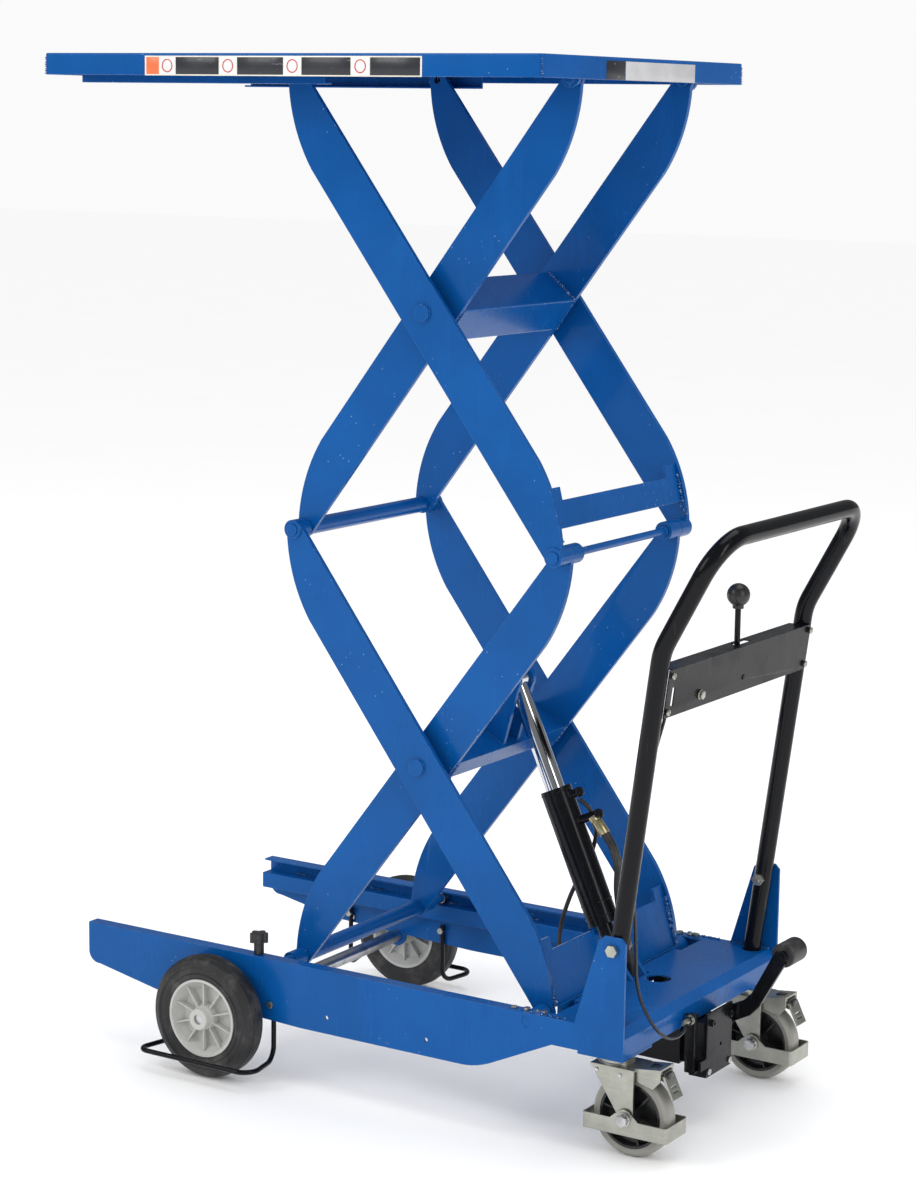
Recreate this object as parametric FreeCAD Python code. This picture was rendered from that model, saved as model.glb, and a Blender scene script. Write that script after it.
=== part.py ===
import FreeCAD, Part
import math
import os

# Hand-hydraulic double scissor lift table, standing fully raised.
# X runs along the table (handle at +X), Y across it, Z up, in millimetres.
# Lengths along X are laid out from the fixed scissor pivots at x = 0 and the finished
# pieces are moved so that the origin lies under the middle of the whole table.

# ---- driving sizes -------------------------------------------------------------------
ARM_PITCH = 836.0            # end pivot to end pivot of every scissor arm
RAISED_ANGLE = 55.9          # degrees between arms and floor when fully raised
PIVOT_HEIGHT = 186.5         # lower fixed pivots and lower rollers
ARM_WIDTH = 75.0
ARM_THICKNESS = 8.0
ARM_END_RADIUS = 15.0
ARM_TAPER_LENGTH = 130.0
ARM_TAPER_BULGE = 9.0
OUTER_ARM_FACE = 201.0       # outer face of the outer arms, from the centre line
INNER_ARM_FACE = 171.0
PIN_RADIUS = 9.0
RUNNING_CLEARANCE = 0.05
OPEN_PIVOT_CLEARANCE = 0.3
CROSS_TUBE_RADIUS = 13.0
JOINT_ROD_RADIUS = 6.0
COLLAR_GAP = 1.0
BRACE_THICKNESS = 5.0
LOWER_BRACE_FOOT = (-0.7, 15.0)  # along the arm from its pivot, and above its pivot line
LOWER_BRACE_HEAD = (78.5, 40.0)
UPPER_BRACE_FOOT = (33.0, 24.0)
UPPER_BRACE_HEAD = (72.0, 38.0)
BRACE_NOTCH_FLOOR = 16.0     # height of the lower brace left under its notch
GUSSET_WIDTH = 30.0
GUSSET_RISE = 20.0
GUSSET_DEPTH = 24.0

ROLLER_RADIUS = 10.0
ROLLER_WIDTH = 14.0
ROLLER_STUB_RADIUS = 6.0
TRACK_GAP = 0.4
SIDE_CLEARANCE = 1.5

PLATFORM_FRONT = -870.0
PLATFORM_REAR = 28.0
PLATFORM_WIDTH = 614.0
PLATFORM_SHEET = 3.0
PLATFORM_SKIRT = 33.0
PLATFORM_ABOVE_PIVOT = 30.0  # top face over the upper pivots
PLATFORM_CORNER = 6.0

RAIL_FRONT = -840.0
RAIL_REAR = 165.0
RAIL_HALF_WIDTH = 255.0      # outer faces of the side rails
RAIL_TOP = 200.0
RAIL_SHEET = 4.0
RAIL_FLANGE_SHEET = 3.0
RAIL_FLANGE = 22.0
RAIL_FLANGE_END = 78.0
RAIL_BELLY = 98.0            # lowest edge of the side rails
RAIL_TAIL = 159.0            # lower edge at the handle end
EAR_HEIGHT = 341.0
TRACK_DEPTH = 27.0
TRACK_SHEET = 3.0
TRACK_REAR = -44.0
DECK_FRONT = 27.0
DECK_REAR = 152.0
DECK_SHEET = 3.0
DECK_NOTCH = 12.0            # cut-outs beside the arms
DECK_HOLE = (80.0, 9.0, 20.0)   # x, y and radius of the round hole
FOOT_WELL_HALF = 31.0        # half width of the gap left for the cylinder

WHEEL_RADIUS = 99.0
WHEEL_X = -568.0
WHEEL_Y = 288.0
WHEEL_WIDTH = 42.0
RIM_RADIUS = 63.0
RIM_WALL = 5.0
HUB_RADIUS = 18.0
HUB_OUTREACH = 29.0
AXLE_RADIUS = 8.0
AXLE_TUBE_RADIUS = 11.0
WHEEL_RIBS = 10
GUARD_WIRE_RADIUS = 4.0
GUARD_LEG_SPREAD = 192.0
GUARD_OUTREACH = 330.0
GUARD_FLOOR_GAP = 34.0
GUARD_BOLT_HEIGHT = 126.0

CASTER_X = 130.0             # swivel axis
CASTER_Y = 209.0
CASTER_TRAIL = 32.0
CASTER_WHEEL_RADIUS = 63.5
CASTER_WHEEL_WIDTH = 34.0
CASTER_TREAD = 13.0
CASTER_FORK_SHEET = 4.0
CASTER_FORK_HALF = 25.0      # inner faces of the fork legs
CASTER_CROWN_HEIGHT = 139.0
CASTER_PLATE_SHEET = 5.0
CASTER_RIBS = 6

HANDLE_TUBE_RADIUS = 14.0
HANDLE_HALF_SPREAD = 235.0
HANDLE_BOLT = (144.0, 321.0)
HANDLE_BEND = (201.0, 768.0)
HANDLE_GRIP = (291.0, 935.0)
HANDLE_BEND_RADIUS = 90.0
HANDLE_CORNER_RADIUS = 62.0
PANEL_TOP = 741.0
PANEL_HEIGHT = 72.0
PANEL_DEPTH = 30.0
PANEL_SHEET = 2.0
LEVER_TOP = 815.0
LEVER_PIVOT_DROP = 50.0
LEVER_Y = 14.0
LEVER_RADIUS = 4.5
BALL_RADIUS = 17.5

CYLINDER_FOOT = (2.6, 239.3)   # base pin, x and z
CYLINDER_HEAD_ALONG = 540.0     # head pin along the lower inner arm from its roller end
CYLINDER_HEAD_OFFSET = 19.0     # head pin above that arm's pivot line
BARREL_RADIUS = 25.0
BARREL_WALL = 6.0
BARREL_START = 39.0
BARREL_LENGTH = 223.0
ROD_ENGAGEMENT = 60.0        # length of rod left in the barrel when fully out
ROD_RADIUS = 15.0
EYE_RADIUS = 17.0
EYE_HALF_WIDTH = 16.0
LUG_GAP = 1.0
LUG_THICKNESS = 8.0

PUMP_HALF_WIDTH = 43.0
PUMP_FRONT = 60.0
PUMP_BOTTOM = 88.0
PUMP_PLATE_X = 190.0
PUMP_PLATE_SHEET = 4.0
PUMP_PLATE_BOTTOM = 75.0
PUMP_PLATE_TOP = 176.0
PEDAL_PIVOT = (181.0, 150.0)
PEDAL_PAD = (270.0, 258.0)
PEDAL_PAD_RADIUS = 19.0
PEDAL_PAD_LENGTH = 48.0

CABLE_RADIUS = 2.5
CABLE_END = (176.0, -78.0, 171.0)
RELEASE_PIN_RADIUS = 3.0
HOSE_RADIUS = 7.0
RETURN_HOSE_RADIUS = 3.5
KNOB_X = -503.0
KNOB_RADIUS = 15.0

# ---- worked out from the driving sizes -----------------------------------------------
ANGLE = math.radians(RAISED_ANGLE)
SPAN = ARM_PITCH * math.cos(ANGLE)
RISE = ARM_PITCH * math.sin(ANGLE)
LOW_FIXED = (0.0, PIVOT_HEIGHT)
LOW_ROLLER = (-SPAN, PIVOT_HEIGHT)
MID_FRONT = (-SPAN, PIVOT_HEIGHT + RISE)
MID_REAR = (0.0, PIVOT_HEIGHT + RISE)
TOP_ROLLER = (-SPAN, PIVOT_HEIGHT + 2 * RISE)
TOP_FIXED = (0.0, PIVOT_HEIGHT + 2 * RISE)
OUTER_INSIDE = OUTER_ARM_FACE - ARM_THICKNESS
INNER_INSIDE = INNER_ARM_FACE - ARM_THICKNESS
PLATFORM_TOP = TOP_FIXED[1] + PLATFORM_ABOVE_PIVOT
PLATFORM_UNDERSIDE = PLATFORM_TOP - PLATFORM_SHEET
RAIL_INSIDE = RAIL_HALF_WIDTH - RAIL_SHEET
FLANGE_EDGE = RAIL_HALF_WIDTH - RAIL_FLANGE
ROLLER_FACE = RAIL_INSIDE - SIDE_CLEARANCE - 1 - ROLLER_WIDTH
FRONT_END = min(PLATFORM_FRONT, RAIL_FRONT)
REAR_END = HANDLE_GRIP[0] + HANDLE_TUBE_RADIUS
ORIGIN_X = (FRONT_END + REAR_END) / 2
PIN_HOLE = PIN_RADIUS + RUNNING_CLEARANCE
OPEN_HOLE = PIN_RADIUS + OPEN_PIVOT_CLEARANCE
HANDLE_LEAN = (HANDLE_BEND[0] - HANDLE_BOLT[0]) / (HANDLE_BEND[1] - HANDLE_BOLT[1])
SIDES = {"left": -1, "right": 1}


# ---- drawing helpers -----------------------------------------------------------------
def vec(x, y, z):
    return FreeCAD.Vector(x, y, z)


def box(x0, x1, y0, y1, z0, z1):
    low = vec(min(x0, x1), min(y0, y1), min(z0, z1))
    return Part.makeBox(abs(x1 - x0), abs(y1 - y0), abs(z1 - z0), low)


def rod_between(start, end, radius):
    axis = vec(*end) - vec(*start)
    return Part.makeCylinder(radius, axis.Length, vec(*start), axis)


def rod_y(point, y0, y1, radius):
    """Cylinder along Y through point (x, z)."""
    return rod_between((point[0], min(y0, y1), point[1]), (point[0], max(y0, y1), point[1]), radius)


def ring_y(point, y0, y1, outer, inner):
    return rod_y(point, y0, y1, outer).cut(rod_y(point, min(y0, y1) - 1, max(y0, y1) + 1, inner))


def hexagon_head(centre, axis, across_flats, height):
    """Hexagonal bolt head that starts at centre and grows along axis."""
    radius = across_flats / math.sqrt(3)
    turns = [math.pi * i / 3 for i in range(7)]
    corners = [vec(radius * math.cos(turn), radius * math.sin(turn), 0) for turn in turns]
    head = Part.Face(Part.makePolygon(corners)).extrude(vec(0, 0, height))
    head.Placement = FreeCAD.Placement(vec(*centre), FreeCAD.Rotation(vec(0, 0, 1), vec(*axis)))
    return head


def plate_y(points, y0, y1):
    """Flat plate with a straight-sided outline of (x, z) points."""
    corners = [vec(x, min(y0, y1), z) for x, z in points]
    return Part.Face(Part.makePolygon(corners + corners[:1])).extrude(vec(0, abs(y1 - y0), 0))


def rounded_path(points, radii):
    """Straight runs through points, joined at the inner ones by tangent arcs of the given radii."""
    corners = [vec(*p) for p in points]
    edges = []
    start = corners[0]
    for before, corner, after, radius in zip(corners, corners[1:], corners[2:], radii):
        inward = (before - corner).normalize()
        outward = (after - corner).normalize()
        half_turn = (math.pi - inward.getAngle(outward)) / 2
        reach = radius * math.tan(half_turn)
        first = corner + inward * reach
        last = corner + outward * reach
        middle_direction = (inward + outward).normalize()
        middle = corner + middle_direction * (radius / math.cos(half_turn) - radius)
        edges.append(Part.LineSegment(start, first).toShape())
        edges.append(Part.Arc(first, middle, last).toShape())
        start = last
    edges.append(Part.LineSegment(start, corners[-1]).toShape())
    return Part.Wire(edges)


def cord_radii(points):
    """Arc radii that fill the corners of a hand-laid route: 0.45 of the shorter run each."""
    corners = [vec(*p) for p in points]
    radii = []
    for before, corner, after in zip(corners, corners[1:], corners[2:]):
        inward = before - corner
        outward = after - corner
        half_turn = (math.pi - inward.getAngle(outward)) / 2
        radii.append(0.45 * min(inward.Length, outward.Length) / math.tan(half_turn))
    return radii


def round_tube(path, radius, bore=0.0):
    """Round bar or tube that follows a path."""
    start = path.Edges[0].valueAt(path.Edges[0].FirstParameter)
    direction = path.Edges[0].tangentAt(path.Edges[0].FirstParameter)
    profile = Part.Wire(Part.makeCircle(radius, start, direction))
    body = path.makePipeShell([profile], True, False)
    if bore:
        inner = Part.Wire(Part.makeCircle(bore, start, direction))
        body = body.cut(path.makePipeShell([inner], True, False))
    return body


def cord(name, points, radius):
    """Held cable or hose; prints its length, arc radii and a check of its volume."""
    radii = cord_radii(points)
    path = rounded_path(points, radii)
    body = round_tube(path, radius)
    expected = math.pi * radius ** 2 * path.Length
    smallest = ", ".join(f"{r:.0f}" for r in radii)
    print(f"{name}: length {path.Length:.0f} mm, radii {smallest}, volume ratio {body.Volume / expected:.4f}")
    return body


def turned_y(profile, x, z):
    """Solid of revolution about the Y line through (x, z) from (radius, y) points."""
    corners = [vec(x + radius, y, z) for radius, y in profile]
    face = Part.Face(Part.makePolygon(corners + corners[:1]))
    return face.revolve(vec(x, 0, z), vec(0, 1, 0), 360)


def mirrored(shape, side):
    """Pieces are drawn for the right side; the left one is their mirror image."""
    if side > 0:
        return shape
    return shape.mirror(vec(0, 0, 0), vec(0, 1, 0))


def write(name, shapes):
    """Moves a node's solids to the table's own origin and writes their STEP file."""
    parts = shapes if isinstance(shapes, list) else [shapes]
    solids = [solid for part in parts for solid in part.Solids]
    node = Part.makeCompound(solids) if len(solids) > 1 else solids[0]
    node = node.copy()
    node.translate(vec(-ORIGIN_X, 0, 0))
    if not node.isValid():
        print("not valid:", name)
    node.exportStep("parts/" + name + ".step")


# ---- scissor arms --------------------------------------------------------------------
def arm_frame(lower, upper):
    """Centre of an arm, its direction and the direction towards its upper side, in X and Z."""
    length = math.hypot(upper[0] - lower[0], upper[1] - lower[1])
    along = ((upper[0] - lower[0]) / length, (upper[1] - lower[1]) / length)
    above = (abs(along[1]) * (1 if along[0] < 0 else -1), abs(along[0]))
    centre = ((lower[0] + upper[0]) / 2, (lower[1] + upper[1]) / 2)
    return centre, along, above


def on_arm(lower, upper, along_distance, above_distance):
    """Point (x, z) at a distance along the pivot line from the lower pivot, and above it."""
    _, along, above = arm_frame(lower, upper)
    x = lower[0] + along[0] * along_distance + above[0] * above_distance
    z = lower[1] + along[1] * along_distance + above[1] * above_distance
    return x, z


def arm_outline(lower, upper, y):
    """Strip turned slightly about its centre, so that the end pivots lie near opposite edges."""
    half = ARM_WIDTH / 2
    shift = half - ARM_END_RADIUS
    reach = math.sqrt((ARM_PITCH / 2) ** 2 - shift ** 2)
    centre, along, above = arm_frame(lower, upper)
    turn = math.asin(shift / (ARM_PITCH / 2))
    strip = [math.cos(turn) * a - math.sin(turn) * b for a, b in zip(along, above)]
    across = [math.sin(turn) * a + math.cos(turn) * b for a, b in zip(along, above)]

    def at(s, n):
        return vec(centre[0] + strip[0] * s + across[0] * n, y, centre[1] + strip[1] * s + across[1] * n)

    edges = []
    for end in (1, -1):
        taper_start = (reach - ARM_TAPER_LENGTH, -half)
        taper_end = (reach, shift - ARM_END_RADIUS)
        chord = (taper_end[0] - taper_start[0], taper_end[1] - taper_start[1])
        size = math.hypot(*chord)
        middle = ((taper_start[0] + taper_end[0]) / 2 + chord[1] / size * ARM_TAPER_BULGE,
                  (taper_start[1] + taper_end[1]) / 2 - chord[0] / size * ARM_TAPER_BULGE)
        corners = [(-reach, -half), taper_start, middle, taper_end,
                   (reach + ARM_END_RADIUS, shift), (reach, half)]
        p = [at(end * s, end * n) for s, n in corners]
        edges.append(Part.LineSegment(p[0], p[1]).toShape())
        edges.append(Part.Arc(p[1], p[2], p[3]).toShape())
        edges.append(Part.Arc(p[3], p[4], p[5]).toShape())
    return Part.Wire(edges)


def arm_plate(lower, upper, face):
    """Arm on the right side with its outer face at the given distance from the centre line."""
    outline = arm_outline(lower, upper, face - ARM_THICKNESS)
    return Part.Face(outline).extrude(vec(0, ARM_THICKNESS, 0))


def bored(shape, point, radius):
    return shape.cut(rod_y(point, -400, 400, radius))


def middle_of(lower, upper):
    return (lower[0] + upper[0]) / 2, (lower[1] + upper[1]) / 2


def outer_arm(lower, upper, side, lower_hole, upper_hole, collar_at):
    """Outer arm with its welded centre pin and the collar that faces the inner arm."""
    arm = arm_plate(lower, upper, OUTER_ARM_FACE)
    centre = middle_of(lower, upper)
    arm = arm.fuse(rod_y(centre, INNER_INSIDE - 4, OUTER_ARM_FACE + 2, PIN_RADIUS))
    arm = arm.fuse(rod_y(centre, OUTER_ARM_FACE, OUTER_ARM_FACE + 5, PIN_RADIUS + 4))
    arm = arm.fuse(rod_y(centre, INNER_ARM_FACE + COLLAR_GAP, OUTER_INSIDE, ARM_END_RADIUS))
    arm = arm.fuse(rod_y(collar_at, INNER_ARM_FACE + COLLAR_GAP, OUTER_ARM_FACE + 3, ARM_END_RADIUS))
    arm = bored(arm, lower, lower_hole)
    arm = bored(arm, upper, upper_hole)
    return mirrored(arm.removeSplitter(), side)


def inner_arm(lower, upper, side, lower_hole, upper_hole, boss_at=None):
    """Inner arm, bored for the centre pin, with an optional long boss on its inner side."""
    arm = arm_plate(lower, upper, INNER_ARM_FACE)
    if boss_at:
        arm = arm.fuse(rod_y(boss_at, INNER_INSIDE - 26, INNER_INSIDE, ARM_END_RADIUS))
    arm = bored(arm, middle_of(lower, upper), PIN_HOLE)
    arm = bored(arm, lower, lower_hole)
    arm = bored(arm, upper, upper_hole)
    return mirrored(arm.removeSplitter(), side)


def end_brace(pivot, upper_pivot, foot, head, notch):
    """Plate across the outer arms near their lower pivots, with a gusset at each arm."""
    low = on_arm(pivot, upper_pivot, *foot)
    high = on_arm(pivot, upper_pivot, *head)
    size = math.hypot(high[0] - low[0], high[1] - low[1])
    up = ((high[0] - low[0]) / size, (high[1] - low[1]) / size)
    back = (-up[1], up[0])

    def at(height, depth):
        return low[0] + up[0] * height + back[0] * depth, low[1] + up[1] * height + back[1] * depth

    sheet = BRACE_THICKNESS
    plate = plate_y([at(0, 0), at(size, 0), at(size, sheet), at(0, sheet)], -OUTER_INSIDE, OUTER_INSIDE)
    if notch:
        tool = plate_y([at(BRACE_NOTCH_FLOOR, -5), at(size + 5, -5), at(size + 5, sheet + 5),
                        at(BRACE_NOTCH_FLOOR, sheet + 5)], -FOOT_WELL_HALF - 7, FOOT_WELL_HALF + 7)
        plate = plate.cut(tool)
    gusset = plate_y([at(size * 0.45, 1), at(size * 0.8, 1), at(size + GUSSET_RISE, 1),
                      at(size + GUSSET_RISE - 4, 5), at(size, GUSSET_DEPTH)],
                     OUTER_INSIDE - sheet, OUTER_INSIDE)
    tab = plate_y([at(size * 0.8, 0), at(size + GUSSET_RISE, 0), at(size + GUSSET_RISE, sheet),
                   at(size * 0.8, sheet)], OUTER_INSIDE - GUSSET_WIDTH, OUTER_INSIDE)
    ends = [mirrored(piece, side) for side in SIDES.values() for piece in (gusset, tab)]
    return plate.fuse(ends).removeSplitter()


def lower_outer_stage():
    for name, side in SIDES.items():
        arm = outer_arm(LOW_FIXED, MID_FRONT, side, PIN_HOLE, PIN_HOLE, MID_FRONT)
        write("lower_outer_arm_" + name, arm)
    brace = end_brace(LOW_FIXED, MID_FRONT, LOWER_BRACE_FOOT, LOWER_BRACE_HEAD, True)
    write("lower_outer_brace", brace)


def lower_inner_stage():
    for name, side in SIDES.items():
        arm = inner_arm(LOW_ROLLER, MID_REAR, side, CROSS_TUBE_RADIUS, OPEN_HOLE, MID_REAR)
        write("lower_inner_arm_" + name, arm)
    write("lower_inner_brace", clevis_brace())
    write("lower_roller_shaft", roller_shaft())


def clevis_brace():
    """Folded plate across the lower inner arms, with the two cheeks that hold the cylinder's head."""
    half = ARM_WIDTH / 2

    def at(s, n):
        return on_arm(LOW_ROLLER, MID_REAR, s, n)

    web = plate_y([at(452, -half), at(446, half - 8), at(441, half - 8), at(447, -half)],
                  -INNER_INSIDE, INNER_INSIDE)
    lip = plate_y([at(422, -half - 2), at(452, -half - 2), at(452, -half + 3), at(422, -half + 3)],
                  -INNER_INSIDE, INNER_INSIDE)
    head = at(CYLINDER_HEAD_ALONG, CYLINDER_HEAD_OFFSET)
    inner = EYE_HALF_WIDTH + LUG_GAP
    outer = inner + LUG_THICKNESS
    brace = web.fuse(lip)
    for side in SIDES.values():
        reach = CYLINDER_HEAD_ALONG
        cheek = plate_y([at(450, -half + 4), at(446, half - 10), at(reach, CYLINDER_HEAD_OFFSET + 22),
                         at(reach, CYLINDER_HEAD_OFFSET - 22)], inner, outer)
        cheek = cheek.fuse(rod_y(head, inner, outer, 22))
        cheek = cheek.fuse(rod_y(head, outer, outer + 5, 12))
        brace = brace.fuse(mirrored(cheek, side))
    return brace.removeSplitter()


def roller_shaft():
    """Cross tube between the roller ends, stepped down to a stub axle for each roller."""
    tube_end = OUTER_ARM_FACE + 4
    bore_end = tube_end - 15
    collar_end = ROLLER_FACE - 1
    stub_end = ROLLER_FACE + ROLLER_WIDTH + 1
    shaft = ring_y(LOW_ROLLER, -bore_end, bore_end, CROSS_TUBE_RADIUS, CROSS_TUBE_RADIUS - 3)
    for side in SIDES.values():
        end = rod_y(LOW_ROLLER, bore_end, tube_end, CROSS_TUBE_RADIUS)
        end = end.fuse(rod_y(LOW_ROLLER, bore_end, collar_end, ROLLER_STUB_RADIUS + 2))
        end = end.fuse(rod_y(LOW_ROLLER, bore_end, stub_end, ROLLER_STUB_RADIUS))
        shaft = shaft.fuse(mirrored(end, side))
    return shaft.removeSplitter()


def upper_inner_stage():
    for name, side in SIDES.items():
        arm = inner_arm(MID_FRONT, TOP_FIXED, side, CROSS_TUBE_RADIUS, PIN_HOLE)
        write("upper_inner_arm_" + name, arm)
    write("upper_inner_box", middle_box())
    tube = rod_y(MID_FRONT, -INNER_ARM_FACE, INNER_ARM_FACE, CROSS_TUBE_RADIUS)
    pin = rod_y(MID_FRONT, -OUTER_ARM_FACE - 5, OUTER_ARM_FACE + 5, PIN_RADIUS)
    write("upper_cross_tube", tube.fuse(pin).removeSplitter())


def middle_box():
    """Folded channel between the upper inner arms: sloping top and a front lip."""
    half = ARM_WIDTH / 2
    pitch = ARM_PITCH / 2

    def at(s, n):
        return on_arm(MID_FRONT, TOP_FIXED, s, n)

    outer = [at(pitch - 26, -half - 3), at(pitch + 32, -half - 3), at(pitch + 40, half - 12),
             at(pitch + 36, half - 12), at(pitch + 28, -half + 1), at(pitch - 26, -half + 1)]
    return plate_y(outer, -INNER_INSIDE, INNER_INSIDE)


def upper_outer_stage():
    for name, side in SIDES.items():
        arm = outer_arm(MID_REAR, TOP_ROLLER, side, PIN_HOLE, ROLLER_STUB_RADIUS, MID_REAR)
        write("upper_outer_arm_" + name, arm)
    brace = end_brace(MID_REAR, TOP_ROLLER, UPPER_BRACE_FOOT, UPPER_BRACE_HEAD, False)
    write("upper_outer_brace", brace)
    thick = INNER_INSIDE - 26
    shaft = rod_y(MID_REAR, -thick, thick, JOINT_ROD_RADIUS)
    for side in SIDES.values():
        shaft = shaft.fuse(mirrored(rod_y(MID_REAR, thick - 4, OUTER_ARM_FACE + 6, PIN_RADIUS), side))
    write("joint_rod", shaft.removeSplitter())


def roller(centre, inner_face):
    """Steel-cored nylon roller on the right side."""
    bore = ROLLER_STUB_RADIUS + RUNNING_CLEARANCE
    return ring_y(centre, inner_face, inner_face + ROLLER_WIDTH, ROLLER_RADIUS, bore)


def rollers():
    high_face = OUTER_ARM_FACE + 4
    for name, side in SIDES.items():
        write("lower_roller_" + name, mirrored(roller(LOW_ROLLER, ROLLER_FACE), side))
        write("upper_roller_" + name, mirrored(roller(TOP_ROLLER, high_face), side))


# ---- platform ------------------------------------------------------------------------
def platform_top():
    half = PLATFORM_WIDTH / 2
    outer = box(PLATFORM_FRONT, PLATFORM_REAR, -half, half, PLATFORM_TOP - PLATFORM_SKIRT, PLATFORM_TOP)
    edges = [e for e in outer.Edges if abs(e.Vertexes[0].Z - e.Vertexes[-1].Z) > PLATFORM_SHEET]
    outer = outer.makeFillet(PLATFORM_CORNER, edges)
    rim = [e for e in outer.Edges if all(abs(v.Z - PLATFORM_TOP) < 0.01 for v in e.Vertexes)]
    outer = outer.makeFillet(PLATFORM_SHEET - 0.5, rim)
    hollow = box(PLATFORM_FRONT + PLATFORM_SHEET, PLATFORM_REAR - PLATFORM_SHEET, -half + PLATFORM_SHEET,
                 half - PLATFORM_SHEET, PLATFORM_TOP - PLATFORM_SKIRT - 1, PLATFORM_UNDERSIDE)
    posts = [e for e in hollow.Edges if abs(e.Vertexes[0].Z - e.Vertexes[-1].Z) > PLATFORM_SHEET]
    hollow = hollow.makeFillet(PLATFORM_CORNER - PLATFORM_SHEET, posts)
    return outer.cut(hollow)


def platform_track():
    """Track for the right upper roller: a wall under the deck with two inward flanges."""
    z = TOP_ROLLER[1]
    web_in = OUTER_ARM_FACE + 4 + ROLLER_WIDTH + SIDE_CLEARANCE
    flange = OUTER_ARM_FACE + 2.5
    top = z + ROLLER_RADIUS + TRACK_GAP
    low = z - ROLLER_RADIUS - TRACK_GAP
    x0 = PLATFORM_FRONT + PLATFORM_SHEET + 2
    x1 = TOP_ROLLER[0] + ROLLER_RADIUS + 60
    web = box(x0, x1, web_in, web_in + TRACK_SHEET, low - TRACK_SHEET, PLATFORM_UNDERSIDE)
    upper = box(x0, x1, flange, web_in, top, top + TRACK_SHEET)
    lower = box(x0, x1, flange, web_in, low - TRACK_SHEET, low)
    return web.fuse([upper, lower]).removeSplitter()


def platform_hinge():
    """Lug and pin for the right upper inner arm."""
    face = INNER_ARM_FACE + 3
    x, z = TOP_FIXED
    lug = plate_y([(x - 34, PLATFORM_UNDERSIDE), (x + 22, PLATFORM_UNDERSIDE),
                   (x + ARM_END_RADIUS, z), (x - ARM_END_RADIUS, z)], face, face + ARM_THICKNESS)
    lug = lug.fuse(rod_y(TOP_FIXED, face, face + ARM_THICKNESS, ARM_END_RADIUS))
    pin = rod_y(TOP_FIXED, INNER_INSIDE - 6, face + ARM_THICKNESS + 5, PIN_RADIUS)
    return lug.fuse(pin).removeSplitter()


def platform():
    write("platform_top", platform_top())
    write("platform_tracks", [mirrored(platform_track(), side) for side in SIDES.values()])
    write("platform_hinges", [mirrored(platform_hinge(), side) for side in SIDES.values()])


# ---- base frame ----------------------------------------------------------------------
def side_plate_face(y):
    """Outline of the right side rail: deep in the middle, with the handle's ear at the rear."""
    bolt_x, bolt_z = HANDLE_BOLT
    rounded = 22.0
    front_low = RAIL_TOP - 50
    edges = [Part.LineSegment(vec(RAIL_FRONT, y, RAIL_TOP), vec(RAIL_FRONT, y, front_low)).toShape()]
    corner = vec(RAIL_FRONT + rounded, y, front_low - rounded * 0.8)
    bulge = vec(RAIL_FRONT + 5, y, front_low - 11)
    edges.append(Part.Arc(vec(RAIL_FRONT, y, front_low), bulge, corner).toShape())
    lower = [(RAIL_FRONT + 143, RAIL_BELLY + 11), (-413, RAIL_BELLY), (-114, RAIL_BELLY)]
    last = corner
    for x, z in lower:
        edges.append(Part.LineSegment(last, vec(x, y, z)).toShape())
        last = vec(x, y, z)
    belly_end = vec(-57, y, RAIL_BELLY + 14)
    edges.append(Part.Arc(last, vec(-84, y, RAIL_BELLY + 4), belly_end).toShape())
    ear = [(44, RAIL_TAIL), (RAIL_REAR, RAIL_TAIL), (RAIL_REAR, EAR_HEIGHT - 8),
           (RAIL_REAR - 8, EAR_HEIGHT), (bolt_x - 14, EAR_HEIGHT), (bolt_x - 24, EAR_HEIGHT - 9),
           (82, RAIL_TOP), (RAIL_FRONT, RAIL_TOP)]
    last = belly_end
    for x, z in ear:
        edges.append(Part.LineSegment(last, vec(x, y, z)).toShape())
        last = vec(x, y, z)
    return Part.Face(Part.Wire(edges))


def side_rail():
    """Right side rail: web, inward top flange, axle ear and drilled holes."""
    web = side_plate_face(RAIL_INSIDE).extrude(vec(0, RAIL_SHEET, 0))
    web = web.fuse(rod_y((WHEEL_X, WHEEL_RADIUS), RAIL_INSIDE, RAIL_HALF_WIDTH, AXLE_TUBE_RADIUS + 7))
    flange_under = RAIL_TOP - RAIL_FLANGE_SHEET
    flange = box(RAIL_FRONT, RAIL_FLANGE_END, FLANGE_EDGE, RAIL_INSIDE + 1, flange_under, RAIL_TOP)
    rail = web.fuse(flange)
    for x in (-363, -178):
        rail = bored(rail, (x, RAIL_BELLY + 26), 3.5)
    rail = bored(rail, (WHEEL_X, WHEEL_RADIUS), AXLE_TUBE_RADIUS)
    rail = bored(rail, LOW_FIXED, PIN_RADIUS)
    rail = bored(rail, HANDLE_BOLT, 5.0)
    for x in guard_leg_places():
        rail = bored(rail, (x, GUARD_BOLT_HEIGHT), 3.0)
    knob_y = (FLANGE_EDGE + RAIL_INSIDE) / 2
    rail = rail.cut(rod_between((KNOB_X, knob_y, RAIL_TOP - 20), (KNOB_X, knob_y, RAIL_TOP + 20), 4.05))
    return rail.removeSplitter()


def roller_track():
    """Angle bar under the right lower roller."""
    top = PIVOT_HEIGHT - ROLLER_RADIUS - TRACK_GAP
    shelf = box(RAIL_FRONT, TRACK_REAR, FLANGE_EDGE - 7, RAIL_INSIDE, top - TRACK_SHEET, top)
    leg = box(RAIL_FRONT, TRACK_REAR, FLANGE_EDGE - 7, FLANGE_EDGE - 7 + TRACK_SHEET, top - TRACK_DEPTH, top)
    return shelf.fuse(leg).removeSplitter()


def guard_leg_places():
    centre = WHEEL_X + 2
    return centre - GUARD_LEG_SPREAD / 2, centre + GUARD_LEG_SPREAD / 2


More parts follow.
